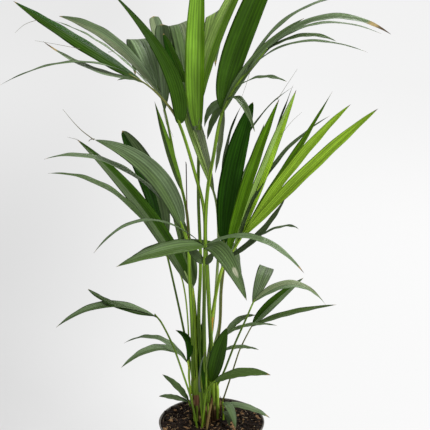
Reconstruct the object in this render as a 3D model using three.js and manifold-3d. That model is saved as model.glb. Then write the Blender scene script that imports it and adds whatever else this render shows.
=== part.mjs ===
// Kentia palm, a clump of young seedlings in a round nursery pot.
//
// Millimetres, +Z up. The origin is the centre of the pot's flat underside, +X is the plant's right
// and -Y its front. Four short sheathed trunks rise from flat cuts on the soil. Each stalk is one
// tapering limb that stands on a trunk or on the soil, and carries a frond: a rib with its leaflets
// fused on. Pieces that meet keep a small clearance.

import * as THREE from "three";
import { mergeVertices } from "three/addons/utils/BufferGeometryUtils.js";
import Module from "manifold-3d";

const wasm = await Module();
wasm.setup();

// ---------------------------------------------------------------- driving dimensions

const CLEARANCE = 0.3;
const NECK_CLEARANCE = 0.45;
const MERGE_DISTANCE = 1e-4;

const POT = {
  height: 150,
  rimRadius: 85,
  bandRadius: 81,
  bandHeight: 16,
  shoulderRadius: 78.5,
  footRadius: 60,
  footChamfer: 2,
  lipRounding: 1,
  wall: 1.6,
  floor: 2.4,
  sides: 44,
  drains: 6,
  drainRadius: 5,
  drainCircle: 42,
  drainSides: 10,
};

const SOIL_LEVEL = 144;

// A trunk leans from its foot on the soil to its flat top, where its stalks stand.
const TRUNKS = {
  left: { foot: [-24, 8], top: [-26, 7, 214], radii: [10, 7.8] },
  front: { foot: [-9, -7], top: [-12.5, -9, 206], radii: [9.5, 7.2] },
  right: { foot: [7, 8], top: [5, 6, 208], radii: [9.5, 7.2] },
  back: { foot: [-8, 26], top: [-6, 24, 220], radii: [9, 6.4] },
};
const TRUNK_SIDES = 12;
const TRUNK_STEPS = 6;
const FLARE_POWER = 3;

const STALK_SIDES = 7;
const RIB_SIDES = 5;
const STEP_LENGTH = 32;

const BLADE_STEPS = 8;
const BLADE_SIDES = 4;
const BLADE_BASE_POWER = 0.6;
const BLADE_TIP_POWER = 0.85;
const BLADE_FOLD = 9;
const LENGTH_PER_THICKNESS = 85;
const TIP_THICKNESS = 0.45;
const LEAST_HALF_WIDTH = 0.7;

const FINISHES = {
  pot: { color: 0x3f4143, roughness: 0.45 },
  soil: { color: 0x33241a, roughness: 0.95 },
  trunk: { color: 0x6f8a35, roughness: 0.55 },
  stalk: { color: 0x6f9a2c, roughness: 0.5 },
  dead: { color: 0x8a6b45, roughness: 0.8 },
  bright: { color: 0x6b9a2c, roughness: 0.5 },
  green: { color: 0x3d6a22, roughness: 0.5 },
  dark: { color: 0x28500f, roughness: 0.45 },
  grey: { color: 0x6f7f68, roughness: 0.6 },
};

// One leaflet: where it leaves the rib (0 neck, 1 end), its tip, how far its middle bows from the
// straight line between those two, its width, and its turn about its own length in degrees, from 0
// with its face to the front to 90 with its face up.
function leaflet(at, tip, bow, width, turn) {
  return { at, tip, bow, width, turn };
}

// A frond's stalk runs from its foot through `stalk` to the neck, its last point. The rib runs on
// through `rib`. The foot is an offset on a trunk's top, a point beside a trunk, or a place on the
// soil. `radii` are the stalk's at its foot, at the neck and at the rib's end.
const FRONDS = {
  upper_left: {
    finish: "green",
    foot: { on: "front", offset: [-3.6, -2] },
    stalk: [[-12, -12, 325], [-10, -9, 425], [-11, -16, 500], [-23, -27, 555], [-49, -42, 641]],
    rib: [[-67, -52, 675], [-86, -62, 699], [-113, -78, 716]],
    radii: [3.1, 2.2, 0.8],
    leaflets: [
      leaflet(0.05, [-143, -70, 823], [29, -4, -4], 22, 10),
      leaflet(0.78, [-261, -95, 801], [-3, -4, 0], 22, 40),
      leaflet(0.33, [-216, -20, 784], [5, 6, 19], 24, 38),
      leaflet(0.62, [-217, -40, 778], [-1, 1, 6], 14, 78),
      leaflet(0.84, [-220, -120, 751], [-3, -5, -13], 16, 62),
      leaflet(0.98, [-275, -150, 694], [5, -6, 22], 17, 80),
    ],
  },
  back_left: {
    finish: "grey",
    foot: { on: "left", offset: [3.2, 3.4] },
    stalk: [[-30, 24, 295], [-34, 32, 400], [-39, 42, 485], [-56, 56, 558]],
    rib: [[-69, 68, 623], [-78, 78, 658], [-88, 92, 684]],
    radii: [2.8, 2.2, 1.2],
    leaflets: [
      leaflet(0.06, [-88, 60, 654], [2, 1, 0], 10, 20),
      leaflet(0.66, [-133, 230, 686], [-22, 0, 69], 38, 15),
      leaflet(0.75, [-94, 130, 785], [3, 5, 6], 26, 20),
      leaflet(0.85, [-70, 30, 772], [2, -7, 13], 20, 20),
    ],
  },
  back: {
    finish: "grey",
    foot: { on: "back", offset: [-3.4, -2] },
    stalk: [[3, 26, 315], [9, 22, 394], [11, 10, 444], [8, 2, 505]],
    rib: [[2, 3, 530], [-12, 4, 575], [-27, 8, 618]],
    radii: [2.6, 2, 1.2],
    leaflets: [
      leaflet(0.2, [-46, 30, 665], [-2, -6, 4], 19, 10),
      leaflet(0.96, [-73, 240, 700], [-1, -49, 112], 38, 15),
      leaflet(0.4, [0, 240, 700], [-5, -37, 160], 34, 8),
    ],
  },
  centre: {
    finish: "bright",
    foot: { on: "front", offset: [-0.6, 4] },
    stalk: [[-20, 8, 319], [-17, 12, 409], [-20, 18, 512], [-19, 20, 600]],
    rib: [[-17, 14, 637], [-13, 2, 668]],
    radii: [3, 2.3, 1.2],
    leaflets: [
      leaflet(0.5, [-12, -60, 903], [-9, -10, -27], 27, 5),
      leaflet(0.9, [74, 40, 893], [-26, 2, -21], 28, 10),
    ],
  },
  upper_right: {
    finish: "dark",
    foot: { on: "right", offset: [-3.4, -1] },
    stalk: [[-2, -6, 306], [-6, -21, 406], [-9, -28, 470], [-5, -34, 538], [3, -40, 585], [16, -48, 650]],
    rib: [[37, -56, 695], [51, -60, 715], [76, -66, 744]],
    radii: [3.3, 2.4, 0.8],
    leaflets: [
      leaflet(0.06, [124, -6, 930], [-26, -1, -36], 37, 5),
      leaflet(0.66, [245, 10, 803], [-21, 4, 32], 16, 78),
      leaflet(0.97, [236, -120, 760], [-4, 3, 28], 20, 66),
      leaflet(0.92, [243, -60, 760], [-8, 2, 23], 14, 78),
      leaflet(0.94, [166, -110, 751], [2, 2, 15], 13, 68),
      leaflet(0.7, [201, -150, 738], [-8, 5, 25], 15, 80),
      leaflet(0.28, [98, -150, 701], [0, 2, 8], 12, 80),
      leaflet(0.3, [62, -120, 632], [-4, -12, 4], 13, 40),
      leaflet(0.12, [-10, 5, 623], [-8, 6, 15], 15, 40),
      leaflet(0.1, [-6, 0, 605], [-3, 7, 5], 12, 30),
      leaflet(0.14, [6, -15, 557], [3, 6, -3], 11, 30),
    ],
  },
  middle_left: {
    finish: "green",
    foot: { on: "left", offset: [-3.3, -3] },
    stalk: [[-30, -6, 306], [-33, -16, 391], [-35, -26, 449], [-42, -32, 475]],
    rib: [[-50, -38, 497], [-58, -42, 514]],
    radii: [3.3, 2.4, 1],
    leaflets: [
      leaflet(0.2, [-158, -110, 620], [15, -3, 22], 32, 20),
      leaflet(0.5, [-222, -140, 594], [5, 3, 33], 19, 77),
    ],
  },
  shaded_left: {
    finish: "dark",
    foot: { on: "left", offset: [-3.6, 3.2] },
    stalk: [[-34, 12, 240], [-44, 20, 294], [-56, 26, 353], [-72, 32, 425]],
    rib: [[-76, 34, 437], [-80, 36, 450]],
    radii: [2, 1.6, 1],
    leaflets: [leaflet(0.3, [-141, 75, 608], [17, 6, 0], 36, 12)],
  },
  inner_left: {
    finish: "dark",
    foot: { on: "left", offset: [3.3, -3.2] },
    stalk: [[-25, 10, 283], [-28, 8, 351], [-30, 6, 372]],
    rib: [[-36, 5, 385], [-42, 4, 400]],
    radii: [2.4, 2, 1],
    leaflets: [leaflet(0.15, [-199, -10, 605], [11, 0, 19], 26, 20)],
  },
  lowest_left: {
    finish: "dark",
    foot: { at: [-34.8, 5.2, 196] },
    stalk: [[-36, 4, 250], [-37, 8, 310], [-42, 12, 363], [-50, 14, 390], [-66, 14, 415]],
    rib: [[-74, 12, 426], [-80, 9, 437]],
    radii: [1.3, 1.2, 0.9],
    leaflets: [leaflet(0.3, [-237, -45, 562], [10, -10, 32], 18, 76)],
  },
  middle_right: {
    finish: "bright",
    foot: { on: "right", offset: [2.4, 3] },
    stalk: [[-1, 4, 303], [4, -2, 346], [13, -6, 395], [22, -9, 420]],
    rib: [[34, -12, 438], [51, -18, 468]],
    radii: [3.1, 2.4, 1],
    leaflets: [
      leaflet(0.15, [96, -30, 665], [-11, -10, 0], 18, 30),
      leaflet(0.75, [124, 40, 683], [-1, 8, 24], 14, 75),
      leaflet(0.5, [125, 20, 677], [-4, 2, 7], 18, 55),
      leaflet(0.7, [184, 60, 634], [-18, -12, 20], 17, 60),
      leaflet(0.9, [174, -30, 679], [5, -2, 6], 20, 50),
      leaflet(0.95, [196, -60, 663], [6, -1, 14], 20, 48),
      leaflet(0.8, [225, -110, 662], [9, -2, 19], 24, 40),
      leaflet(0.45, [104, -90, 534], [-1, 2, -6], 18, 45),
      leaflet(0.55, [122, -110, 495], [-2, 2, 17], 9, 84),
    ],
  },
  broad_right: {
    finish: "dark",
    foot: { on: "back", offset: [2.4, -2.8] },
    stalk: [[13, 12, 300], [16, 8, 367], [20, 2, 414], [19.5, -3, 438]],
    rib: [[19, -2, 455], [18.5, 0, 475]],
    radii: [2.2, 1.9, 1.2],
    leaflets: [
      leaflet(0.3, [51, -34, 662], [-8, 3, 3], 33, 10),
      leaflet(0.95, [42, 20, 653], [-14, 2, 12], 13, 65),
      leaflet(0.8, [128, 80, 677], [-24, -2, 28], 12, 72),
    ],
  },
  rear: {
    finish: "green",
    foot: { on: "back", offset: [-1, 3.2] },
    stalk: [[1, 28, 256], [12, 30, 300], [14, 36, 350], [17, 44, 398], [18, 48, 421]],
    rib: [[20, 56, 444], [24, 72, 473], [29, 92, 499]],
    radii: [2, 1.7, 0.9],
    leaflets: [
      leaflet(0.1, [-153, 190, 360], [-11, -10, 17], 20, 60),
      leaflet(0.9, [46, 235, 583], [1, 10, 10], 26, 20),
      leaflet(0.2, [52, 190, 319], [2, -11, 17], 22, 50),
      leaflet(0.6, [89, 180, 607], [4, -4, -2], 14, 30),
      leaflet(1, [25, 235, 437], [5, 2, 66], 26, 15),
    ],
  },
  front: {
    finish: "green",
    foot: { on: "front", offset: [3.2, -2.8] },
    stalk: [[-11, -26, 314], [-11, -34, 381], [-11, -42, 428]],
    rib: [[-10.5, -45, 440], [-10, -48, 452]],
    radii: [2.9, 2.3, 1.4],
    leaflets: [
      leaflet(0.85, [-163, -120, 463], [-5, -2, 39], 14, 86),
      leaflet(0.6, [-130, -140, 446], [5, -2, 9], 28, 56),
      leaflet(0.8, [49, -150, 404], [-1, -6, 29], 30, 30),
      leaflet(0.95, [130, -100, 431], [5, 4, 34], 18, 76),
    ],
  },
  low_left: {
    finish: "green",
    foot: { soil: [-22, -24] },
    stalk: [[-33, -28, 204], [-43, -32, 241], [-60, -40, 297], [-77, -48, 337]],
    rib: [[-81, -50, 343], [-85, -51, 349]],
    radii: [1.7, 1.4, 1],
    leaflets: [
      leaflet(0.3, [-224, -100, 346], [-1, -1, 28], 18, 74),
      leaflet(0.7, [-184, -50, 388], [-4, -1, -3], 12, 80),
    ],
  },
  small_left: {
    finish: "green",
    foot: { at: [-32.7, 0.3, 196] },
    stalk: [[-36, -5, 225], [-36, -9, 247]],
    rib: [[-37, -10, 252], [-38, -11, 257]],
    radii: [1.6, 1.4, 1],
    leaflets: [
      leaflet(0.5, [-140, 30, 268], [6, 0, 23], 13, 76),
      leaflet(0.8, [-133, -70, 272], [6, 0, 26], 16, 72),
      leaflet(0.4, [-57, 10, 298], [3, -3, 4], 9, 20),
    ],
  },
  low_right: {
    finish: "grey",
    foot: { on: "right", offset: [3.2, -3.4] },
    stalk: [[19, -4, 234], [40, -10, 286], [59, -4, 329], [66, 2, 344]],
    rib: [[68, 3, 348], [71, 4, 353]],
    radii: [1.8, 1.4, 1],
    leaflets: [
      leaflet(0.4, [105, 110, 346], [-6, -15, 36], 31, 5),
      leaflet(0.6, [178, 0, 347], [-4, 0, 28], 20, 66),
    ],
  },
  thin_right: {
    finish: "dark",
    foot: { soil: [20, 12] },
    stalk: [[20, 17, 196], [34, 24, 229], [48, 29, 266], [62, 33, 293]],
    rib: [[65, 34, 298], [68, 35, 304]],
    radii: [1.4, 1.1, 0.9],
    leaflets: [
      leaflet(0.7, [149, 60, 371], [-15, 3, 0], 20, 35),
      leaflet(0.4, [192, 0, 346], [-10, -2, 4], 18, 66),
    ],
  },
  low_front: {
    finish: "dark",
    foot: { at: [-4.6, -15, 188] },
    stalk: [[-2, -15, 214]],
    rib: [[9, -15, 246], [18, -11, 275], [22, -5, 300]],
    radii: [2, 1.7, 0.9],
    leaflets: [
      leaflet(0.08, [24, -26, 316], [-1, -10, 6], 24, 10),
      leaflet(0.92, [71, 30, 318], [-4, 6, 7], 12, 55),
      leaflet(0.96, [100, 12, 309], [-5, 3, 10], 10, 66),
      leaflet(0.66, [74, 20, 266], [-2, 6, 4], 8, 60),
    ],
  },
  low_single: {
    finish: "green",
    foot: { at: [-14.8, -16.9, 176] },
    stalk: [[-8, -22, 207], [0, -28, 226]],
    rib: [[3, -30, 229], [6, -31, 232]],
    radii: [1.7, 1.5, 1.2],
    leaflets: [leaflet(0.4, [89, -70, 261], [-1, 1, 10], 18, 62)],
  },
};

// Sprouts are fronds with no stalk of their own: the rib starts beside a trunk or on the soil.
const SPROUTS = {
  sprout_left: {
    finish: "green",
    rib: [[-34.6, 5, 172], [-36, 4, 178], [-37, 3, 184]],
    radii: [1.5, 1],
    leaflets: [
      leaflet(0.9, [-77, -20, 238], [2, -2, 3], 12, 50),
      leaflet(0.7, [-82, -35, 208], [-2, 0, 5], 10, 66),
    ],
  },
  sprout_right: {
    finish: "grey",
    rib: [[19, 2, 144.3], [19, 0, 162], [18, -3, 183]],
    radii: [1.8, 1.2],
    leaflets: [
      leaflet(0.95, [38, -32, 151], [2, -2, 12], 14, 30),
      leaflet(0.9, [93, -12, 163], [2, 0, 8], 14, 66),
      leaflet(0.6, [28, -24, 151], [2, -1, 5], 9, 30),
    ],
  },
};

// Bare limbs: a dried stalk that lost its frond, a cut stub and a spear leaf still rolled up.
const BARE_LIMBS = {
  dried_stalk: {
    finish: "dead",
    foot: { on: "left", offset: [0, 0] },
    path: [[-29, 14, 300], [-32, 24, 400], [-35, 32, 488], [-37, 34, 563]],
    radii: [1.1, 0.6],
  },
  cut_stub: {
    finish: "dead",
    foot: { soil: [-8, -22] },
    path: [[-4, -22, 170], [1, -21, 196]],
    radii: [2.4, 1.6],
  },
  spear_leaf: {
    finish: "grey",
    foot: { at: [-19.7, -13.2, 188] },
    path: [[-20, -20, 222], [-17, -25, 245], [-8, -29, 264]],
    radii: [2, 0.6],
  },
};

// ---------------------------------------------------------------- solids and meshes

function toSolid(geometry) {
  const bare = geometry.clone();
  bare.deleteAttribute("normal");
  bare.deleteAttribute("uv");
  const merged = mergeVertices(bare, MERGE_DISTANCE);
  const mesh = new wasm.Mesh({
    numProp: 3,
    vertProperties: new Float32Array(merged.attributes.position.array),
    triVerts: new Uint32Array(merged.index.array),
  });
  return new wasm.Manifold(mesh);
}

function toGeometry(solid) {
  const { vertProperties, triVerts } = solid.getMesh();
  const geometry = new THREE.BufferGeometry();
  geometry.setAttribute("position", new THREE.BufferAttribute(new Float32Array(vertProperties), 3));
  geometry.setIndex(new THREE.BufferAttribute(new Uint32Array(triVerts), 1));
  geometry.computeVertexNormals();
  return geometry;
}

function joinAll(solids) {
  return solids.reduce((joined, solid) => joined.add(solid));
}

function namedMesh(name, solid, finish) {
  const material = new THREE.MeshStandardMaterial({ ...FINISHES[finish], metalness: 0 });
  const mesh = new THREE.Mesh(toGeometry(solid), material);
  mesh.name = name;
  return mesh;
}

// A closed body round the Z axis from a half profile that starts and ends on the axis.
function turned(profile, sides) {
  const points = profile.map(([radius, height]) => new THREE.Vector2(radius, height));
  return toSolid(new THREE.LatheGeometry(points, sides).rotateX(Math.PI / 2));
}

// A cylinder whose vertices are moved by `place(x, share, z)`, where share runs from 0 at the foot
// to 1 at the end and x, z lie on the unit circle, or at 0, 0 in the middle of a cap.
function drawn(sides, steps, place) {
  const geometry = new THREE.CylinderGeometry(1, 1, 1, sides, steps);
  const position = geometry.attributes.position;
  for (let i = 0; i < position.count; i += 1) {
    const point = place(position.getX(i), position.getY(i) + 0.5, position.getZ(i));
    position.setXYZ(i, point.x, point.y, point.z);
  }
  return toSolid(geometry);
}

// ---------------------------------------------------------------- limbs and blades

const UP = new THREE.Vector3(0, 0, 1);
const FRONT = new THREE.Vector3(0, -1, 0);

function vector([x, y, z]) {
  return new THREE.Vector3(x, y, z);
}

// The stretch of a curve between two of its parameters, as a tapering limb with a round section.
// A limb with a flat foot has its first ring level.
function limb({ curve, from = 0, to = 1, radiusAt, sides, steps, flatFoot = false }) {
  return drawn(sides, steps, (x, share, z) => {
    const u = THREE.MathUtils.lerp(from, to, share);
    const tangent = flatFoot && share === 0 ? UP : curve.getTangent(u);
    const normal = FRONT.clone().addScaledVector(tangent, -FRONT.dot(tangent)).normalize();
    const side = tangent.clone().cross(normal);
    const radius = radiusAt(share);
    return curve.getPoint(u).addScaledVector(side, x * radius).addScaledVector(normal, z * radius);
  });
}

function linear(first, last) {
  return (share) => THREE.MathUtils.lerp(first, last, share);
}

function stepsFor(curve, from, to) {
  return Math.max(2, Math.round((curve.getLength() * (to - from)) / STEP_LENGTH));
}

// Share of a blade's full width at a share of its length: narrow at the rib, widest past the
// first third and drawn out to the tip.
function bladeWidth(share) {
  const shape = (s) => s ** BLADE_BASE_POWER * (1 - s) ** BLADE_TIP_POWER;
  const widest = BLADE_BASE_POWER / (BLADE_BASE_POWER + BLADE_TIP_POWER);
  return shape(share) / shape(widest);
}

// A leaflet's blade, gently folded along its middle, from a root in the rib to its tip.
function blade(root, { tip, bow, width, turn }) {
  const end = vector(tip);
  const bend = root.clone().add(end).multiplyScalar(0.5).addScaledVector(vector(bow), 2);
  const curve = new THREE.QuadraticBezierCurve3(root, bend, end);
  const thickness = curve.getLength() / LENGTH_PER_THICKNESS;

  const chord = end.clone().sub(root).normalize();
  const faceFront = FRONT.clone().addScaledVector(chord, -FRONT.dot(chord)).normalize();
  const faceUp = chord.clone().cross(faceFront);
  if (faceUp.z < 0) faceUp.negate();
  const angle = THREE.MathUtils.degToRad(turn);
  const face = faceFront.multiplyScalar(Math.cos(angle)).addScaledVector(faceUp, Math.sin(angle));

  const fold = THREE.MathUtils.degToRad(BLADE_FOLD);
  return drawn(BLADE_SIDES, BLADE_STEPS, (x, share, z) => {
    const tangent = curve.getTangent(share);
    const swing = new THREE.Quaternion().setFromUnitVectors(chord, tangent);
    const normal = face.clone().applyQuaternion(swing);
    const side = tangent.clone().cross(normal);
    const half = Math.max((width / 2) * bladeWidth(share), LEAST_HALF_WIDTH);
    const lift = (z * thickness * linear(1, TIP_THICKNESS)(share)) / 2;
    return curve
      .getPoint(share)
      .addScaledVector(side, x * half * Math.cos(fold))
      .addScaledVector(normal, lift + Math.abs(x) * half * Math.sin(fold));
  });
}

// ---------------------------------------------------------------- pot and soil

function innerRadius(height) {
  const rise = height / (POT.height - POT.bandHeight);
  return THREE.MathUtils.lerp(POT.footRadius, POT.shoulderRadius, Math.min(rise, 1)) - POT.wall;
}

function makePot() {
  const bandFoot = POT.height - POT.bandHeight;
  const lipRadius = POT.rimRadius - POT.wall;
  const shell = turned(
    [
      [0, 0],
      [POT.footRadius - POT.footChamfer, 0],
      [POT.footRadius, POT.footChamfer],
      [POT.shoulderRadius, bandFoot],
      [POT.bandRadius, bandFoot + POT.wall],
      [POT.rimRadius - POT.lipRounding, POT.height - 2 * POT.wall],
      [POT.rimRadius, POT.height - POT.wall],
      [POT.rimRadius - POT.lipRounding / 2, POT.height],
      [lipRadius - POT.lipRounding, POT.height],
      [POT.bandRadius - POT.wall, bandFoot + 2 * POT.wall],
      [innerRadius(bandFoot), bandFoot],
      [innerRadius(POT.floor), POT.floor],
      [0, POT.floor],
    ],
    POT.sides,
  );
  let pot = shell;
  for (let i = 0; i < POT.drains; i += 1) {
    const angle = (i / POT.drains) * 2 * Math.PI;
    const { drainRadius, drainSides } = POT;
    const drill = new THREE.CylinderGeometry(drainRadius, drainRadius, 4 * POT.floor, drainSides);
    drill.rotateX(Math.PI / 2);
    drill.translate(POT.drainCircle * Math.cos(angle), POT.drainCircle * Math.sin(angle), 0);
    pot = pot.subtract(toSolid(drill));
  }
  return namedMesh("pot", pot, "pot");
}

function makeSoil() {
  const bottom = POT.floor + CLEARANCE;
  const bandFoot = POT.height - POT.bandHeight;
  const flare = bandFoot + 2 * POT.wall;
  const solid = turned(
    [
      [0, bottom],
      [innerRadius(bottom) - CLEARANCE, bottom],
      [innerRadius(bandFoot) - CLEARANCE, bandFoot],
      [POT.bandRadius - POT.wall - CLEARANCE, flare],
      [POT.bandRadius - POT.wall - CLEARANCE, SOIL_LEVEL],
      [0, SOIL_LEVEL],
    ],
    POT.sides,
  );
  return namedMesh("soil", solid, "soil");
}

// ---------------------------------------------------------------- trunks, stalks and fronds

function makeTrunk(name, { foot, top, radii }) {
  const start = new THREE.Vector3(foot[0], foot[1], SOIL_LEVEL + CLEARANCE);
  const end = vector(top);
  const [footRadius, topRadius] = radii;
  const flare = (share) => topRadius + (footRadius - topRadius) * (1 - share) ** FLARE_POWER;
  const solid = drawn(TRUNK_SIDES, TRUNK_STEPS, (x, share, z) => {
    const radius = flare(share);
    const centre = start.clone().lerp(end, share);
    return centre.add(new THREE.Vector3(x * radius, -z * radius, 0));
  });
  return namedMesh(`trunk_${name}`, solid, "trunk");
}

function footPoint(foot) {
  if (foot.on) {
    const [x, y, z] = TRUNKS[foot.on].top;
    return new THREE.Vector3(x + foot.offset[0], y + foot.offset[1], z + CLEARANCE);
  }
  if (foot.soil) return new THREE.Vector3(foot.soil[0], foot.soil[1], SOIL_LEVEL + CLEARANCE);
  return vector(foot.at);
}

function frondSolid({ curve, neck, radii, leaflets }) {
  const rib = limb({
    curve,
    from: neck,
    radiusAt: linear(...radii),
    sides: RIB_SIDES,
    steps: stepsFor(curve, neck, 1),
  });
  const blades = leaflets.map((leaf) => blade(curve.getPoint(THREE.MathUtils.lerp(neck, 1, leaf.at)), leaf));
  return joinAll([rib, ...blades]);
}

function makeFrond(name, { finish, foot, stalk, rib, radii, leaflets }) {
  const points = [footPoint(foot), ...stalk.map(vector), ...rib.map(vector)];
  const curve = new THREE.CatmullRomCurve3(points, false, "centripetal");
  const neck = stalk.length / (points.length - 1);
  const limbSolid = limb({
    curve,
    to: neck - NECK_CLEARANCE / curve.getLength(),
    radiusAt: linear(radii[0], radii[1]),
    sides: STALK_SIDES,
    steps: stepsFor(curve, 0, neck),
    flatFoot: true,
  });
  const frond = frondSolid({ curve, neck, radii: radii.slice(1), leaflets });
  return [namedMesh(`stalk_${name}`, limbSolid, "stalk"), namedMesh(`frond_${name}`, frond, finish)];
}

function makeSprout(name, { finish, rib, radii, leaflets }) {
  const curve = new THREE.CatmullRomCurve3(rib.map(vector), false, "centripetal");
  return namedMesh(name, frondSolid({ curve, neck: 0, radii, leaflets }), finish);
}

function makeBareLimb(name, { finish, foot, path, radii }) {
  const curve = new THREE.CatmullRomCurve3([footPoint(foot), ...path.map(vector)], false, "centripetal");
  const solid = limb({
    curve,
    radiusAt: linear(...radii),
    sides: STALK_SIDES,
    steps: stepsFor(curve, 0, 1),
    flatFoot: true,
  });
  return namedMesh(name, solid, finish);
}

// ---------------------------------------------------------------- the plant in its pot

const group = new THREE.Group();
group.add(makePot(), makeSoil());
for (const [name, trunk] of Object.entries(TRUNKS)) group.add(makeTrunk(name, trunk));
for (const [name, frond] of Object.entries(FRONDS)) group.add(...makeFrond(name, frond));
for (const [name, sprout] of Object.entries(SPROUTS)) group.add(makeSprout(name, sprout));
for (const [name, bareLimb] of Object.entries(BARE_LIMBS)) group.add(makeBareLimb(name, bareLimb));

export default group;
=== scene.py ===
"""Kentia palm in a nursery pot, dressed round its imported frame.

The plant is a clump of seedlings. Short sheathed trunks stand in the compost, stalks rise from them,
and each stalk carries a frond: a rib with narrow leaflets. +Z is up, +X the plant's right and -Y its
front. The plant's and the pot's sizes are given in millimetres, the studio's in metres, and every
mesh is in metres.
"""

import sys

import logging
import math
import random
from collections.abc import Callable, Sequence
from dataclasses import dataclass
from enum import Enum
from typing import Any

import bmesh
import bpy
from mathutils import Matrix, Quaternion, Vector, noise


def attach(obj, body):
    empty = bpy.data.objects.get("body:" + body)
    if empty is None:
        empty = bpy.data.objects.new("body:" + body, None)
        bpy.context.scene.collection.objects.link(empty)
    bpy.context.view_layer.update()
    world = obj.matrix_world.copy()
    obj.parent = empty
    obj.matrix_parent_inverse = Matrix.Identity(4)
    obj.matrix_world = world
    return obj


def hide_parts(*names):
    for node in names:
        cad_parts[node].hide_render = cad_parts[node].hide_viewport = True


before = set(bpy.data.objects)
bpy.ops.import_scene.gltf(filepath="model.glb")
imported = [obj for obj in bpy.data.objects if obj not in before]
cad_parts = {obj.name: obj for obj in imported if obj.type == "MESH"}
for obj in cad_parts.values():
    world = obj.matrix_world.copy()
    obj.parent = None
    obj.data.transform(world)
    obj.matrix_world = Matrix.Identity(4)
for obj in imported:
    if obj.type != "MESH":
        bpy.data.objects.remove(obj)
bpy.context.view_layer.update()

log = logging.getLogger("kentia")

MM = 0.001
BODY = "root"
SEED = 11
UP = Vector((0, 0, 1))
FRONT = Vector((0, -1, 0))
SAME_PLACE = 0.001 * MM
SOIL_LEVEL = 144

Point = tuple[float, float, float]
Place = Callable[[float, float], Vector]


def at_mm(point: Sequence[float]) -> Vector:
    """A point given in millimetres, in metres."""
    return Vector(point) * MM


def mix(first: float, last: float, share: float) -> float:
    """The number at a share of the way from first to last."""
    return first + (last - first) * share


def ramp(low: float, high: float, value: float) -> float:
    """0 below low, 1 above high, and a smooth rise between them."""
    share = min(max((value - low) / (high - low), 0), 1)
    return share * share * (3 - 2 * share)


def linear(code: str) -> tuple[float, float, float, float]:
    """The linear colour of a six-digit screen colour, by the sRGB rule."""
    parts = [int(code[i : i + 2], 16) / 255 for i in (0, 2, 4)]
    red, green, blue = (c / 12.92 if c <= 0.04045 else ((c + 0.055) / 1.055) ** 2.4 for c in parts)
    return (red, green, blue, 1)


def outward(angle: float) -> Vector:
    """The level direction at an angle round the upright axis."""
    return Vector((math.cos(angle), math.sin(angle), 0))


def add_object(name: str, data: bpy.types.ID) -> bpy.types.Object:
    """Adds an object with this data to the scene."""
    made = bpy.data.objects.new(name, data)
    bpy.context.scene.collection.objects.link(made)
    return made


# ---------------------------------------------------------------- materials


class Wire:
    """A socket that gives a value, with sums on it written as Python."""

    def __init__(self, paint: "Paint", socket: bpy.types.NodeSocket) -> None:
        """Wraps an output socket of a material."""
        self.paint = paint
        self.socket = socket

    def _sum(self, operation: str, *values: Any) -> "Wire":
        """A Math node on these values."""
        return self.paint.node("ShaderNodeMath", {"operation": operation}, dict(enumerate(values)))

    def __add__(self, other: Any) -> "Wire":
        """Adds."""
        return self._sum("ADD", self, other)

    def __radd__(self, other: Any) -> "Wire":
        """Adds, from the right."""
        return self._sum("ADD", other, self)

    def __sub__(self, other: Any) -> "Wire":
        """Takes away."""
        return self._sum("SUBTRACT", self, other)

    def __rsub__(self, other: Any) -> "Wire":
        """Takes away, from the right."""
        return self._sum("SUBTRACT", other, self)

    def __mul__(self, other: Any) -> "Wire":
        """Multiplies."""
        return self._sum("MULTIPLY", self, other)

    def __rmul__(self, other: Any) -> "Wire":
        """Multiplies, from the right."""
        return self._sum("MULTIPLY", other, self)

    def __abs__(self) -> "Wire":
        """The size without the sign."""
        return self._sum("ABSOLUTE", self)

    def wave(self) -> "Wire":
        """A wave between 0 and 1 on the value, an angle in radians."""
        return self._sum("SINE", self) * 0.5 + 0.5

    def rise(self, low: float, high: float) -> "Wire":
        """0 below low, 1 above high, and a smooth rise between them."""
        settings = {"interpolation_type": "SMOOTHSTEP"}
        values = {"Value": self, "From Min": low, "From Max": high}
        return self.paint.node("ShaderNodeMapRange", settings, values)


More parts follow.
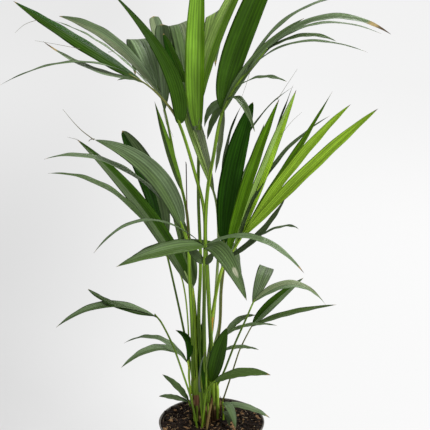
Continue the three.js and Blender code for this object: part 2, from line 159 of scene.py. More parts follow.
class Paint:
    """A material being made: its nodes and its surface shader."""

    def __init__(self, name: str) -> None:
        """Starts a material with one surface shader."""
        self.material = bpy.data.materials.new(name)
        self.material.use_nodes = True
        self.nodes = self.material.node_tree.nodes
        self.links = self.material.node_tree.links
        self.surface = self.nodes["Principled BSDF"]

    def node(
        self,
        kind: str,
        settings: dict[str, Any] | None = None,
        values: dict[str | int, Any] | None = None,
        output: str | int = 0,
    ) -> Wire:
        """Adds a node.

        Args:
            kind: The node's type.
            settings: Its properties, such as a Math node's operation. They are set first.
            values: A number, colour or wire for each input, by the input's name or number.
            output: The output that is wanted.

        Returns:
            The wire from that output.
        """
        made = self.nodes.new(kind)
        for key, value in (settings or {}).items():
            setattr(made, key, value)
        for key, value in (values or {}).items():
            self.feed(made.inputs[key], value)
        return Wire(self, made.outputs[output])

    def feed(self, socket: bpy.types.NodeSocket, value: Any) -> None:
        """Links a wire to an input, or sets the input to a value."""
        if isinstance(value, Wire):
            self.links.new(value.socket, socket)
        else:
            socket.default_value = value

    def set(self, **values: Any) -> None:
        """Feeds the surface shader. An underscore in a name stands for a space."""
        for key, value in values.items():
            self.feed(self.surface.inputs[key.replace("_", " ")], value)

    def marks(self) -> list[Wire]:
        """The numbers that the mesh holds at each vertex, in the order of Skin.MARKS."""
        kind = "ShaderNodeAttribute"
        return [self.node(kind, {"attribute_name": mark}, output="Fac") for mark in Skin.MARKS]

    def spot(self) -> Wire:
        """The place on the piece, in metres."""
        return self.node("ShaderNodeTexCoord", output="Object")

    def noise(self, place: Wire, scale: float, detail: float = 2, roughness: float = 0.5) -> Wire:
        """Cloudy noise from 0 to 1, about 0.5 on the whole."""
        values = {"Vector": place, "Scale": scale, "Detail": detail, "Roughness": roughness}
        return self.node("ShaderNodeTexNoise", None, values)

    def grain(self, marks: Sequence[Wire], scales: Sequence[float]) -> Wire:
        """Cloudy noise on three marks, each with its own scale, so that it can run along a leaf."""
        values = {axis: mark * scale for axis, mark, scale in zip("XYZ", marks, scales)}
        return self.noise(self.node("ShaderNodeCombineXYZ", None, values), 1, 3)

    def blend(self, share: Any, first: Any, last: Any) -> Wire:
        """The colour at a share of the way from first to last."""
        values = {0: share, 6: first, 7: last}
        return self.node("ShaderNodeMix", {"data_type": "RGBA"}, values, output=2)

    def scaled(self, colour: Wire, factor: Any) -> Wire:
        """A colour made brighter or darker by a factor."""
        return self.node("ShaderNodeVectorMath", {"operation": "SCALE"}, {0: colour, 3: factor})

    def bump(self, height: Wire, depth: float, strength: float = 1) -> None:
        """Gives the surface relief of that depth, in metres."""
        values = {"Height": height, "Distance": depth, "Strength": strength}
        self.set(Normal=self.node("ShaderNodeBump", None, values))


@dataclass(frozen=True)
class LeafFinish:
    """A leaf's face: folds and fine veins along it, a paler midrib and a dry tip.

    face, vein and rib are its colours, and dry that of a withered part. gloss is how strongly the
    wax shines. FOLD_ANGLE and VEIN_ANGLE are the waves' angles over a leaf's width, in radians.
    """

    face: str
    vein: str
    rib: str
    roughness: float = 0.42
    gloss: float = 0.2
    dry: str = "9a8658"

    CRISP = "4a3a26"
    VEIN_SHARE = 0.75
    STREAK_SCALES = (11, 0.8, 31)
    SHEEN_AND_SHADE_SCALES = (4, 2.5, 13)
    FOLD_ANGLE = 44
    FOLD_WANDER = 5
    VEIN_ANGLE = 190
    VEIN_WANDER = 9
    CLOUD_SCALE = 38
    CLOUD_SHARE = 0.3
    MIDRIB_EDGE = (0.01, 0.03)
    MIDRIB_SHARE = 0.45
    LEAF_CONTRAST = 0.12
    FOLD_SHADE_CONTRAST = 0.2
    SHEEN_AND_SHADE_CONTRAST = 1.3
    WITHERED = (0.3, 0.62)
    CRISPED = (0.75, 1)
    RELIEF = 0.7 * MM

    def make(self, name: str) -> bpy.types.Material:
        """Makes the material."""
        paint = Paint(name)
        across, along, shade, dry = paint.marks()
        broad = paint.grain((across, along, shade), self.STREAK_SCALES)
        sheen_and_shade_bands = paint.grain((across, along, shade), self.SHEEN_AND_SHADE_SCALES)
        folds = (across * self.FOLD_ANGLE + broad * self.FOLD_WANDER).wave()
        fine = (across * self.VEIN_ANGLE + broad * self.VEIN_WANDER).wave()
        cloud = paint.noise(paint.spot(), self.CLOUD_SCALE, 3)
        veins = (broad.rise(0.35, 0.65) * 0.4 + folds * 0.35 + fine * 0.25).rise(0.2, 0.8)
        midrib = 1 - abs(across - 0.5).rise(*self.MIDRIB_EDGE)
        base = paint.blend(veins * self.VEIN_SHARE, linear(self.face), linear(self.vein))
        base = paint.blend(cloud.rise(0.5, 0.85) * self.CLOUD_SHARE, base, linear(self.rib))
        base = paint.blend(midrib * self.MIDRIB_SHARE, base, linear(self.rib))
        # The folds' light and dark stripes, here and in the face and vein colours, are partly painted shade
        # in the pleats' creases.
        light = 1 + shade * self.LEAF_CONTRAST + (folds - 0.5) * self.FOLD_SHADE_CONTRAST
        # Broad bands along the leaf make it lighter and darker: painted sheen and painted shade.
        base = paint.scaled(base, light + (sheen_and_shade_bands - 0.5) * self.SHEEN_AND_SHADE_CONTRAST)
        worn = (dry + (cloud - 0.5) * 0.5 * dry.rise(0, 0.2)).rise(*self.WITHERED)
        crisp = (dry + (cloud - 0.5) * 0.3).rise(*self.CRISPED)
        scorched = paint.blend(crisp, linear(self.dry), linear(self.CRISP))
        paint.set(Base_Color=paint.blend(worn, base, scorched), Specular_IOR_Level=self.gloss)
        paint.set(Roughness=self.roughness + cloud * 0.12 + worn * 0.3)
        paint.bump(broad * 0.5 + folds * 0.4 - midrib * 0.5, self.RELIEF)
        return paint.material


@dataclass(frozen=True)
class StalkFinish:
    """A smooth waxy stalk, streaked along its length, browner where it is old."""

    skin: str
    streak_and_highlight: str
    old: str
    roughness: float = 0.38

    STREAK_SCALES = (7, 9, 17)
    CLOUD_SCALE = 60
    SPECK_SHARE = 0.35
    STALK_CONTRAST = 0.25
    WITHERED = (0.35, 0.7)
    GLOSS = 0.25
    RELIEF = 0.4 * MM

    def make(self, name: str) -> bpy.types.Material:
        """Makes the material."""
        paint = Paint(name)
        across, along, shade, dry = paint.marks()
        streaks = paint.grain((across, along, shade), self.STREAK_SCALES)
        cloud = paint.noise(paint.spot(), self.CLOUD_SCALE, 4, 0.6)
        # The darker skin and lighter streaks are partly painted shade and painted highlight of the round
        # stalk, laid out as random streaks.
        base = paint.blend(streaks.rise(0.4, 0.6), linear(self.skin), linear(self.streak_and_highlight))
        base = paint.blend(cloud.rise(0.6, 0.72) * self.SPECK_SHARE, base, linear(self.old))
        base = paint.scaled(base, 1 + shade * self.STALK_CONTRAST)
        worn = (dry + (cloud - 0.5) * 0.6 * dry.rise(0, 0.25)).rise(*self.WITHERED)
        paint.set(Base_Color=paint.blend(worn, base, linear(self.old)), Specular_IOR_Level=self.GLOSS)
        paint.set(Roughness=self.roughness + cloud * 0.15 + worn * 0.25)
        paint.bump(streaks * 0.6 + cloud * 0.4, self.RELIEF, 0.6)
        return paint.material


@dataclass(frozen=True)
class PlasticFinish:
    """Thin moulded plastic with a faint grain and upright scuffs."""

    skin: str
    scuff: str
    roughness: float = 0.42

    GRAIN_SCALE = 900
    CLOUD_SCALE = 22
    SCUFF_SCALE = 160
    SCUFF_STRETCH = (1, 1, 0.12)
    SCUFF_SHARE = 0.45
    RELIEF = 0.2 * MM

    def make(self, name: str) -> bpy.types.Material:
        """Makes the material."""
        paint = Paint(name)
        spot = paint.spot()
        grain = paint.noise(spot, self.GRAIN_SCALE)
        cloud = paint.noise(spot, self.CLOUD_SCALE, 4, 0.6)
        stretched = paint.node("ShaderNodeMapping", None, {"Vector": spot, "Scale": self.SCUFF_STRETCH})
        scuffs = paint.noise(stretched, self.SCUFF_SCALE, 3, 0.7).rise(0.6, 0.78)
        base = paint.blend(cloud, linear(self.skin), linear(self.scuff))
        base = paint.blend(scuffs * self.SCUFF_SHARE, base, linear(self.scuff))
        paint.set(Base_Color=base, Roughness=self.roughness + cloud * 0.14 + scuffs * 0.12)
        paint.bump(grain, self.RELIEF, 0.35)
        return paint.material


@dataclass(frozen=True)
class CompostFinish:
    """Moist compost or one of its crumbs: dark, with paler fibre in it."""

    dark: str
    pale: str
    scale: float

    CLOUD_SIZE = 6
    GLOSS = 0.15
    RELIEF = 1.8 * MM

    def make(self, name: str) -> bpy.types.Material:
        """Makes the material."""
        paint = Paint(name)
        spot = paint.spot()
        crumbs = paint.noise(spot, self.scale, 5, 0.65)
        cloud = paint.noise(spot, self.scale / self.CLOUD_SIZE, 3)
        base = paint.blend(crumbs.rise(0.42, 0.68), linear(self.dark), linear(self.pale))
        base = paint.scaled(base, 0.65 + cloud * 0.7)
        paint.set(Base_Color=base, Roughness=0.78 + crumbs * 0.2, Specular_IOR_Level=self.GLOSS)
        paint.bump(crumbs, self.RELIEF)
        return paint.material


class Tone(Enum):
    """The tones of the leaves and husks, each with a finish for the face and one for the back."""

    # The tones are partly the leaves' own colours and partly painted light: DARK and DEEP partly stand in
    # for leaves in shade, LIME for leaves lit through from behind, and GREY and SAGE for painted sheen of
    # the sky on the wax.
    LIME = (
        LeafFinish("799b22", "9cc62e", "b0da4e"),
        LeafFinish("607a35", "7d9d46", "8dae58", 0.55),
    )
    PALE = (
        LeafFinish("789447", "9bbc5c", "add071", 0.5, gloss=0.25),
        LeafFinish("61773d", "7d9950", "8daa61", 0.55, gloss=0.25),
    )
    BRIGHT = (
        LeafFinish("5e841f", "729e26", "86b442"),
        LeafFinish("5a7633", "6d8e3f", "7fa252", 0.55),
    )
    FRESH = (
        LeafFinish("3f6003", "527c03", "5f8a22", gloss=0.1),
        LeafFinish("4d6831", "648641", "729550", 0.55, gloss=0.1),
    )
    FERN = (
        LeafFinish("3e502b", "52683a", "5d7346", 0.45, gloss=0.25, dry="a6a88e"),
        LeafFinish("32441f", "425a2b", "4c6435", 0.55, gloss=0.25),
    )
    GREEN = (
        LeafFinish("3c5023", "4f682f", "5a743b"),
        LeafFinish("344628", "455b36", "4f6640", 0.55),
    )
    SAGE = (
        LeafFinish("516341", "647a51", "6d825b", 0.5, gloss=0.3),
        LeafFinish("374f20", "45622a", "4d6834", 0.5, gloss=0.3),
    )
    GREY = (
        LeafFinish("64704f", "74825b", "7c8a65", 0.55, gloss=0.3),
        LeafFinish("364d21", "3f5927", "465f31", 0.5, gloss=0.3),
    )
    SLATE = (
        LeafFinish("3c4c2b", "4f6339", "596e44", 0.45),
        LeafFinish("2f4816", "3e5e1f", "48682b", 0.5),
    )
    DEEP = (
        LeafFinish("233d03", "2c4b03", "365613", 0.38, gloss=0.1),
        LeafFinish("324823", "3e582c", "4a6539", 0.55, gloss=0.1),
    )
    DARK = (
        LeafFinish("163303", "1f4403", "274c0f", 0.34, gloss=0.05),
        LeafFinish("30471f", "405d2a", "4a6635", 0.55, gloss=0.05),
    )
    HUSK = (
        LeafFinish("3a2818", "6a5034", "8a7048", 0.8, gloss=0.1),
        LeafFinish("2c1e12", "4a3826", "6a5438", 0.8, gloss=0.1),
    )


class Coat(Enum):
    """The finishes of all but the leaves."""

    FRESH = StalkFinish("3c540a", "7ca024", "6f6428")
    OLIVE = StalkFinish("6c8818", "a0c03c", "b48a2c")
    SHADED = StalkFinish("5c6e38", "92a664", "5f5a32")
    BRONZE = StalkFinish("44481c", "6c7034", "4e3a20")
    BROWN = StalkFinish("3e3020", "6a563c", "2c2014", 0.75)
    SHEATH = StalkFinish("5a7616", "90ac38", "8a6248", 0.45)
    ROLLED = StalkFinish("323e2a", "64725a", "4a4632", 0.5)
    STRAW = StalkFinish("6a5a34", "94804e", "5c4226", 0.8)
    THREAD = StalkFinish("4e4c3a", "807e68", "4a4636", 0.7)
    POT = PlasticFinish("35322e", "625c52")
    COMPOST = CompostFinish("060402", "24180f", 190)
    CRUMB = CompostFinish("0a0604", "342519", 400)
    CHIP = CompostFinish("5c422a", "ac8c64", 500)
    FIBRE = CompostFinish("a08a68", "d8c4a0", 500)


Finish = LeafFinish | StalkFinish | PlasticFinish | CompostFinish


class Finishes:
    """The materials, each made once."""

    def __init__(self) -> None:
        """Starts with no material made."""
        self.made: dict[str, bpy.types.Material] = {}

    def once(self, name: str, finish: Finish) -> bpy.types.Material:
        """The material of that name, made from its finish when it is first asked for."""
        if name not in self.made:
            self.made[name] = finish.make(name)
        return self.made[name]

    def coat(self, coat: Coat) -> bpy.types.Material:
        """The material of a coat."""
        return self.once(coat.name.lower(), coat.value)

    def leaf(self, tone: Tone) -> list[bpy.types.Material]:
        """The materials of a leaf's face and back."""
        sides = zip(("face", "back"), tone.value)
        return [self.once(f"leaf_{tone.name.lower()}_{side}", finish) for side, finish in sides]


FINISHES = Finishes()


# ---------------------------------------------------------------- meshes


def spin_round(mesh: bmesh.types.BMesh, outline: Sequence[Vector], sides: int) -> None:
    """Turns an outline right round the upright axis.

    Args:
        mesh: The mesh that it is added to.
        outline: Its points, in metres.
        sides: Faces round the axis.
    """
    verts = [mesh.verts.new(point) for point in outline]
    edges = [mesh.edges.new(pair) for pair in zip(verts, verts[1:])]
    bmesh.ops.spin(
        mesh,
        geom=[*verts, *edges],
        cent=(0, 0, 0),
        axis=UP,
        angle=2 * math.pi,
        steps=sides,
        use_merge=True,
    )
    bmesh.ops.remove_doubles(mesh, verts=mesh.verts, dist=SAME_PLACE)


def smooth_off(mesh: bmesh.types.BMesh) -> None:
    """Points a mesh's faces outwards and shades them smooth."""
    bmesh.ops.recalc_face_normals(mesh, faces=mesh.faces)
    for face in mesh.faces:
        face.smooth = True


class Skin:
    """A mesh being built, with marks at its vertices for the finishes.

    The marks are the share across a leaf or round a stalk, the way along it, how light it is from
    -1 to 1, and how dry it is at that place.
    """

    MARKS = ("across", "along", "shade", "dry")

    def __init__(self, name: str) -> None:
        """Starts an empty mesh."""
        self.name = name
        self.mesh = bmesh.new()
        self.layers = {mark: self.mesh.verts.layers.float.new(mark) for mark in self.MARKS}
        self.materials: list[bpy.types.Material] = []

    def slot_of(self, *materials: bpy.types.Material) -> int:
        """The number of the first of these materials, added with the others if it is new."""
        if materials[0] not in self.materials:
            self.materials.extend(materials)
        return self.materials.index(materials[0])

    def coat(self, coat: Coat) -> int:
        """The number of a coat's material."""
        return self.slot_of(FINISHES.coat(coat))

    def wrap(
        self,
        around: int,
        along: int,
        place: Place,
        material: Callable[[float], int] | int,
        marks: Callable[[float, float], Sequence[float]],
    ) -> None:
        """Adds a closed shell: a grid rolled up along its first direction, with both ends filled.

        Args:
            around: Faces round the shell.
            along: Faces along it.
            place: Where the vertex at a share of the way round and along goes.
            material: The material's number, or a rule that gives it from the share round.
            marks: The marks' values from the same two shares.
        """
        made = bmesh.ops.create_grid(self.mesh, x_segments=around, y_segments=along, size=0.5)
        verts = made["verts"]
        faces = list({face for vert in verts for face in vert.link_faces})
        for face in faces:
            turn = face.calc_center_median().x + 0.5
            face.material_index = material if isinstance(material, int) else material(turn)
            face.smooth = True
        for vert in verts:
            turn, share = vert.co.x + 0.5, vert.co.y + 0.5
            vert.co = place(turn, share)
            for mark, value in zip(self.MARKS, marks(turn, share)):
                vert[self.layers[mark]] = value
        bmesh.ops.remove_doubles(self.mesh, verts=verts, dist=SAME_PLACE)
        kept = [vert for vert in verts if vert.is_valid]
        rims = {edge for vert in kept for edge in vert.link_edges if edge.is_boundary}
        bmesh.ops.holes_fill(self.mesh, edges=list(rims), sides=0)
        shell = list({face for vert in kept for face in vert.link_faces})
        bmesh.ops.recalc_face_normals(self.mesh, faces=shell)

    def piece(self, slot: str, *nodes: str) -> bpy.types.Object:
        """Makes the object of this mesh.

        Args:
            slot: The material slot of the piece. It is not used.
            nodes: The CAD nodes that the piece stands for.

        Returns:
            The object, riding on the one body.
        """
        data = bpy.data.meshes.new(self.name)
        self.mesh.to_mesh(data)
        self.mesh.free()
        for material in self.materials:
            data.materials.append(material)
        made = add_object(self.name, data)
        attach(made, BODY)
        if nodes:
            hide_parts(*nodes)
        log.info("%s: %d faces", self.name, len(data.polygons))
        return made


class Spline:
    """A smooth line through points, read by a share of the way along."""

    STEP = 1e-3

    def __init__(self, points: Sequence[Vector]) -> None:
        """Takes the points that the line passes through."""
        before = points[0] * 2 - points[1]
        after = points[-1] * 2 - points[-2]
        self.points = [before, *points, after]
        self.spans = len(points) - 1

    def point(self, share: float) -> Vector:
        """The point at a share of the way, by the centripetal rule."""
        place = min(max(share, 0), 1) * self.spans
        index = min(int(place), self.spans - 1)
        part = place - index
        p0, p1, p2, p3 = self.points[index : index + 4]
        d0, d1, d2 = (math.sqrt((b - a).length) for a, b in ((p0, p1), (p1, p2), (p2, p3)))
        start = ((p1 - p0) / d0 - (p2 - p0) / (d0 + d1) + (p2 - p1) / d1) * d1
        end = ((p2 - p1) / d1 - (p3 - p1) / (d1 + d2) + (p3 - p2) / d2) * d1
        square = 3 * (p2 - p1) - 2 * start - end
        cube = 2 * (p1 - p2) + start + end
        return p1 + start * part + square * part**2 + cube * part**3

    def tangent(self, share: float) -> Vector:
        """The direction of the line at a share of the way."""
        low, high = max(share - self.STEP, 0), min(share + self.STEP, 1)
        return (self.point(high) - self.point(low)).normalized()

    def length(self, start: float, end: float, steps: int = 24) -> float:
        """The line's length between two shares."""
        points = [self.point(mix(start, end, i / steps)) for i in range(steps + 1)]
        return sum((b - a).length for a, b in zip(points, points[1:]))


@dataclass(frozen=True)
class Limb:
    """A round tapering limb along a stretch of a line, in metres.

    radii are those of its ends, step a face's length, and groove the share of the radius that the
    channel along it takes away.
    """

    line: Spline
    start: float
    end: float
    radii: tuple[float, float]
    sides: int = 12
    step: float = 5 * MM
    groove: float = 0
    foot_flat: bool = False

    GROOVE_POWER = 3
    LEAST_STEPS = 3

    def place(self, turn: float, share: float) -> Vector:
        """The point of its surface at a share of a turn and of its length."""
        along = mix(self.start, self.end, share)
        tangent = UP if self.foot_flat and share == 0 else self.line.tangent(along)
        normal = (FRONT - tangent * FRONT.dot(tangent)).normalized()
        side = tangent.cross(normal)
        angle = 2 * math.pi * turn
        channel = self.groove * max(-math.cos(angle), 0) ** self.GROOVE_POWER
        radius = mix(*self.radii, share) * (1 - channel)
        return self.line.point(along) + (side * math.sin(angle) + normal * math.cos(angle)) * radius

    def add_to(self, skin: Skin, material: int, shade: float, dry: Callable[[float], float]) -> None:
        """Adds the limb to a mesh.

        Args:
            skin: The mesh.
            material: The material's number in it.
            shade: How light the limb is, from -1 to 1.
            dry: How dry it is at a share of its length.
        """
        length = self.line.length(self.start, self.end)
        steps = max(self.LEAST_STEPS, round(length / self.step))

        def marks(turn: float, share: float) -> Sequence[float]:
            """The marks at a share of a turn and of the length."""
            return (abs(2 * turn - 1), share * length, shade, dry(share))

        skin.wrap(self.sides, steps, self.place, material, marks)


# ---------------------------------------------------------------- leaflets and fronds


@dataclass(frozen=True)
class Leaflet:
    """One leaflet: a folded blade from the rib to its tip.

    at is where it leaves the rib, tip its end, bow how far its middle stands off the straight line,
    width its greatest width and turn how far its face turns from the front to the sky, in degrees.
    Its face has its tone up to split, a share across, and the other tone beyond it, and its halves
    fold by an angle. The other tone is painted light: a lighter half is painted sheen on the fold and
    a darker half painted shade on it. base and point are the powers of its outline at the root and the
    tip: the smaller, the blunter. dry is the share of its length that has withered, and spot a withered
    place: its share along, its share across and its size.
    """

    at: float
    tip: Point
    bow: Point
    width: float
    turn: float
    tone: Tone
    # The other half's tone is painted light: painted sheen where it is lighter, painted shade where darker.
    other: Tone | None = None
    fold: float = 14
    dry: float = 0.02
    base: float = 0.65
    point: float = 0.85
    spot: tuple[float, float, float] | None = None
    split: float = 0.5

    COLUMNS = 10
    ROW = 3.5 * MM
    LEAST_ROWS = 14
    THICKNESS = 0.35 * MM
    TIP_THICKNESS = 0.4
    ROOT_HALF = 0.8 * MM
    TIP_HALF = 0.16 * MM
    RIPPLE_HEIGHTS = (0.3, 0.8)
    RIPPLE_ANGLE = 26
    RIPPLE_SKEW = 0.2
    CALM_ROOT = 0.15
    CALM_TIP = 0.2
    MARK_SCALE = 6
    SPOT_DRYNESS = 0.62
    SPOT_STRETCH = 0.3
    SPOT_CORE = 0.4

    def half_width(self, share: float) -> float:
        """Half the blade's width at a share of its length."""
        widest = self.base / (self.base + self.point)
        top = widest**self.base * (1 - widest) ** self.point
        shape = share**self.base * max(1 - share, 0) ** self.point / top
        least = mix(self.ROOT_HALF, self.TIP_HALF, share)
        return max(self.width * MM / 2 * shape, least)

    def add_to(self, skin: Skin, root: Vector, luck: random.Random) -> None:
        """Adds the leaflet to a mesh.

        Args:
            skin: The mesh.
            root: Where the leaflet leaves the rib.
            luck: The source of its small differences.
        """
        tip = at_mm(self.tip)
        bend = (root + tip) / 2 + at_mm(self.bow) * 2
        chord = (tip - root).normalized()
        front = (FRONT - chord * FRONT.dot(chord)).normalized()
        sky = chord.cross(front)
        if sky.z < 0:
            sky.negate()
        angle = math.radians(self.turn)
        face = front * math.cos(angle) + sky * math.sin(angle)
        fold = math.radians(self.fold)
        shade, wave = luck.uniform(-1, 1), luck.uniform(0, 2 * math.pi)
        ripple = luck.uniform(*self.RIPPLE_HEIGHTS) * MM
        length = (tip - root).length

        def place(turn: float, share: float) -> Vector:
            """The blade's point at a share of the way round it and along it."""
            point = root * (1 - share) ** 2 + bend * (2 * share * (1 - share)) + tip * share**2
            tangent = ((bend - root) * (1 - share) + (tip - bend) * share).normalized()
            normal = chord.rotation_difference(tangent) @ face
            side = tangent.cross(normal)
            upper = turn <= 0.5
            across = 4 * turn - 1 if upper else 3 - 4 * turn
            half = self.half_width(share)
            lift = abs(across) * half * math.sin(fold)
            edge = across**2 * ramp(0, self.CALM_ROOT, share) * ramp(0, self.CALM_TIP, 1 - share)
            phase = wave + share * self.RIPPLE_ANGLE * (1 + self.RIPPLE_SKEW * across)
            lift += ripple * edge * math.sin(phase)
            thick = self.THICKNESS * mix(1, self.TIP_THICKNESS, share) * math.sqrt(max(1 - across**2, 0))
            lift += thick / 2 if upper else -thick / 2
            return point + side * (across * half * math.cos(fold)) + normal * lift

        def marks(turn: float, share: float) -> Sequence[float]:
            """The marks at the same place."""
            across = 2 * turn if turn <= 0.5 else 2 - 2 * turn
            dry = ramp(1 - 2 * self.dry, 1 - self.dry * 0.3, share)
            if self.spot:
                middle, offset, size = self.spot
                away = math.hypot(share - middle, (across - offset) * self.SPOT_STRETCH)
                dry = max(dry, self.SPOT_DRYNESS * (1 - ramp(size * self.SPOT_CORE, size, away)))
            return (across, share * length * self.MARK_SCALE, shade, dry)

        near = skin.slot_of(*FINISHES.leaf(self.tone))
        # far is the other half's tone: painted sheen where it is lighter, painted shade where it is darker.
        far = skin.slot_of(*FINISHES.leaf(self.other or self.tone))

        def material(turn: float) -> int:
            """The material's number at a share of the way round."""
            half = near if 1 - abs(1 - 2 * turn) < self.split else far
            return half if turn < 0.5 else half + 1

        rows = max(self.LEAST_ROWS, round(length / self.ROW))
        skin.wrap(2 * self.COLUMNS, rows, place, material, marks)


@dataclass(frozen=True)
class Thread:
    """A dry thread that hangs off a leaf: its points and radii."""

    points: tuple[Point, ...]
    radii: tuple[float, float] = (0.35, 0.15)

    SIDES = 5
    DRYNESS = 0.2

    def add_to(self, skin: Skin) -> None:
        """Adds the thread to a mesh."""
        line = Spline([at_mm(point) for point in self.points])
        start, end = self.radii
        limb = Limb(line, 0, 1, (start * MM, end * MM), sides=self.SIDES)
        limb.add_to(skin, skin.coat(Coat.THREAD), 0, lambda share: self.DRYNESS)


@dataclass(frozen=True)
class Foot:
    """Where a stalk stands: at an offset on a trunk's top, on the compost, or at a point."""

    on: str | None = None
    offset: tuple[float, float] = (0, 0)
    soil: tuple[float, float] | None = None
    at: Point | None = None

    def point(self) -> Vector:
        """The foot's point."""
        if self.on:
            x, y, z = TRUNKS[self.on].top
            return at_mm((x + self.offset[0], y + self.offset[1], z))
        if self.soil:
            return at_mm((*self.soil, SOIL_LEVEL))
        return at_mm(self.at)


@dataclass(frozen=True)
class Frond:
    """A stalk and the leaflets on the rib that it runs on into.

    stalk and rib are the points of its line, and radii those of the stalk's foot and top and of the
    rib's end. patch is the stretch of the stalk that has died. A sprout has no foot, and is one
    piece with its stalk.
    """

    name: str
    slot: str
    foot: Foot | None
    stalk: tuple[Point, ...]
    rib: tuple[Point, ...]
    radii: tuple[float, float, float]
    leaflets: tuple[Leaflet, ...]
    skin: Coat = Coat.FRESH
    # A coat of the rib's own; on some fronds a darker one, painted shade of a rib in shade.
    rib_skin: Coat | None = None
    threads: tuple[Thread, ...] = ()
    patch: tuple[float, float] | None = None

    RIB_SIDES = 10
    GROOVE = 0.12
    OLD_FOOT = 0.08
    FOOT_DRYNESS = 0.6
    PATCH_EDGE = 0.04

    def line(self) -> Spline:
        """The line of the stalk and rib."""
        points = [at_mm(point) for point in (*self.stalk, *self.rib)]
        if self.foot:
            points.insert(0, self.foot.point())
        return Spline(points)

    def neck(self) -> float:
        """The share of the line where the rib starts."""
        return len(self.stalk) / (len(self.stalk) + len(self.rib) - (0 if self.foot else 1))

    def build(self, luck: random.Random) -> None:
        """Makes the stalk and the leaves."""
        line, neck = self.line(), self.neck()
        shade = luck.uniform(-1, 1)
        foot, top, end = (radius * MM for radius in self.radii)
        if self.foot:
            skin = Skin(f"petiole_{self.name}")
            limb = Limb(line, 0, neck, (foot, top), groove=self.GROOVE, foot_flat=True)
            limb.add_to(skin, skin.coat(self.skin), shade, self.dryness)
            skin.piece("stalk", f"stalk_{self.name}")
        skin = Skin(f"leaves_{self.name}")
        rib = Limb(line, neck, 1, (top, end), sides=self.RIB_SIDES)
        rib.add_to(skin, skin.coat(self.rib_skin or self.skin), shade, lambda share: 0)
        for leaflet in self.leaflets:
            leaflet.add_to(skin, line.point(mix(neck, 1, leaflet.at)), luck)
        for thread in self.threads:
            thread.add_to(skin)
        node = f"frond_{self.name}" if self.foot else self.name
        skin.piece(self.slot, node)

    def dryness(self, share: float) -> float:
        """How dry the stalk is at a share of its length: at its foot, and at a dead patch."""
        worn = self.FOOT_DRYNESS * (1 - ramp(0, self.OLD_FOOT, share))
        if self.patch:
            low, high = self.patch
            edge = self.PATCH_EDGE
            worn = max(worn, ramp(low - edge, low, share) * ramp(-high, -high + edge, -share))
        return worn


# ---------------------------------------------------------------- trunks, pot and compost


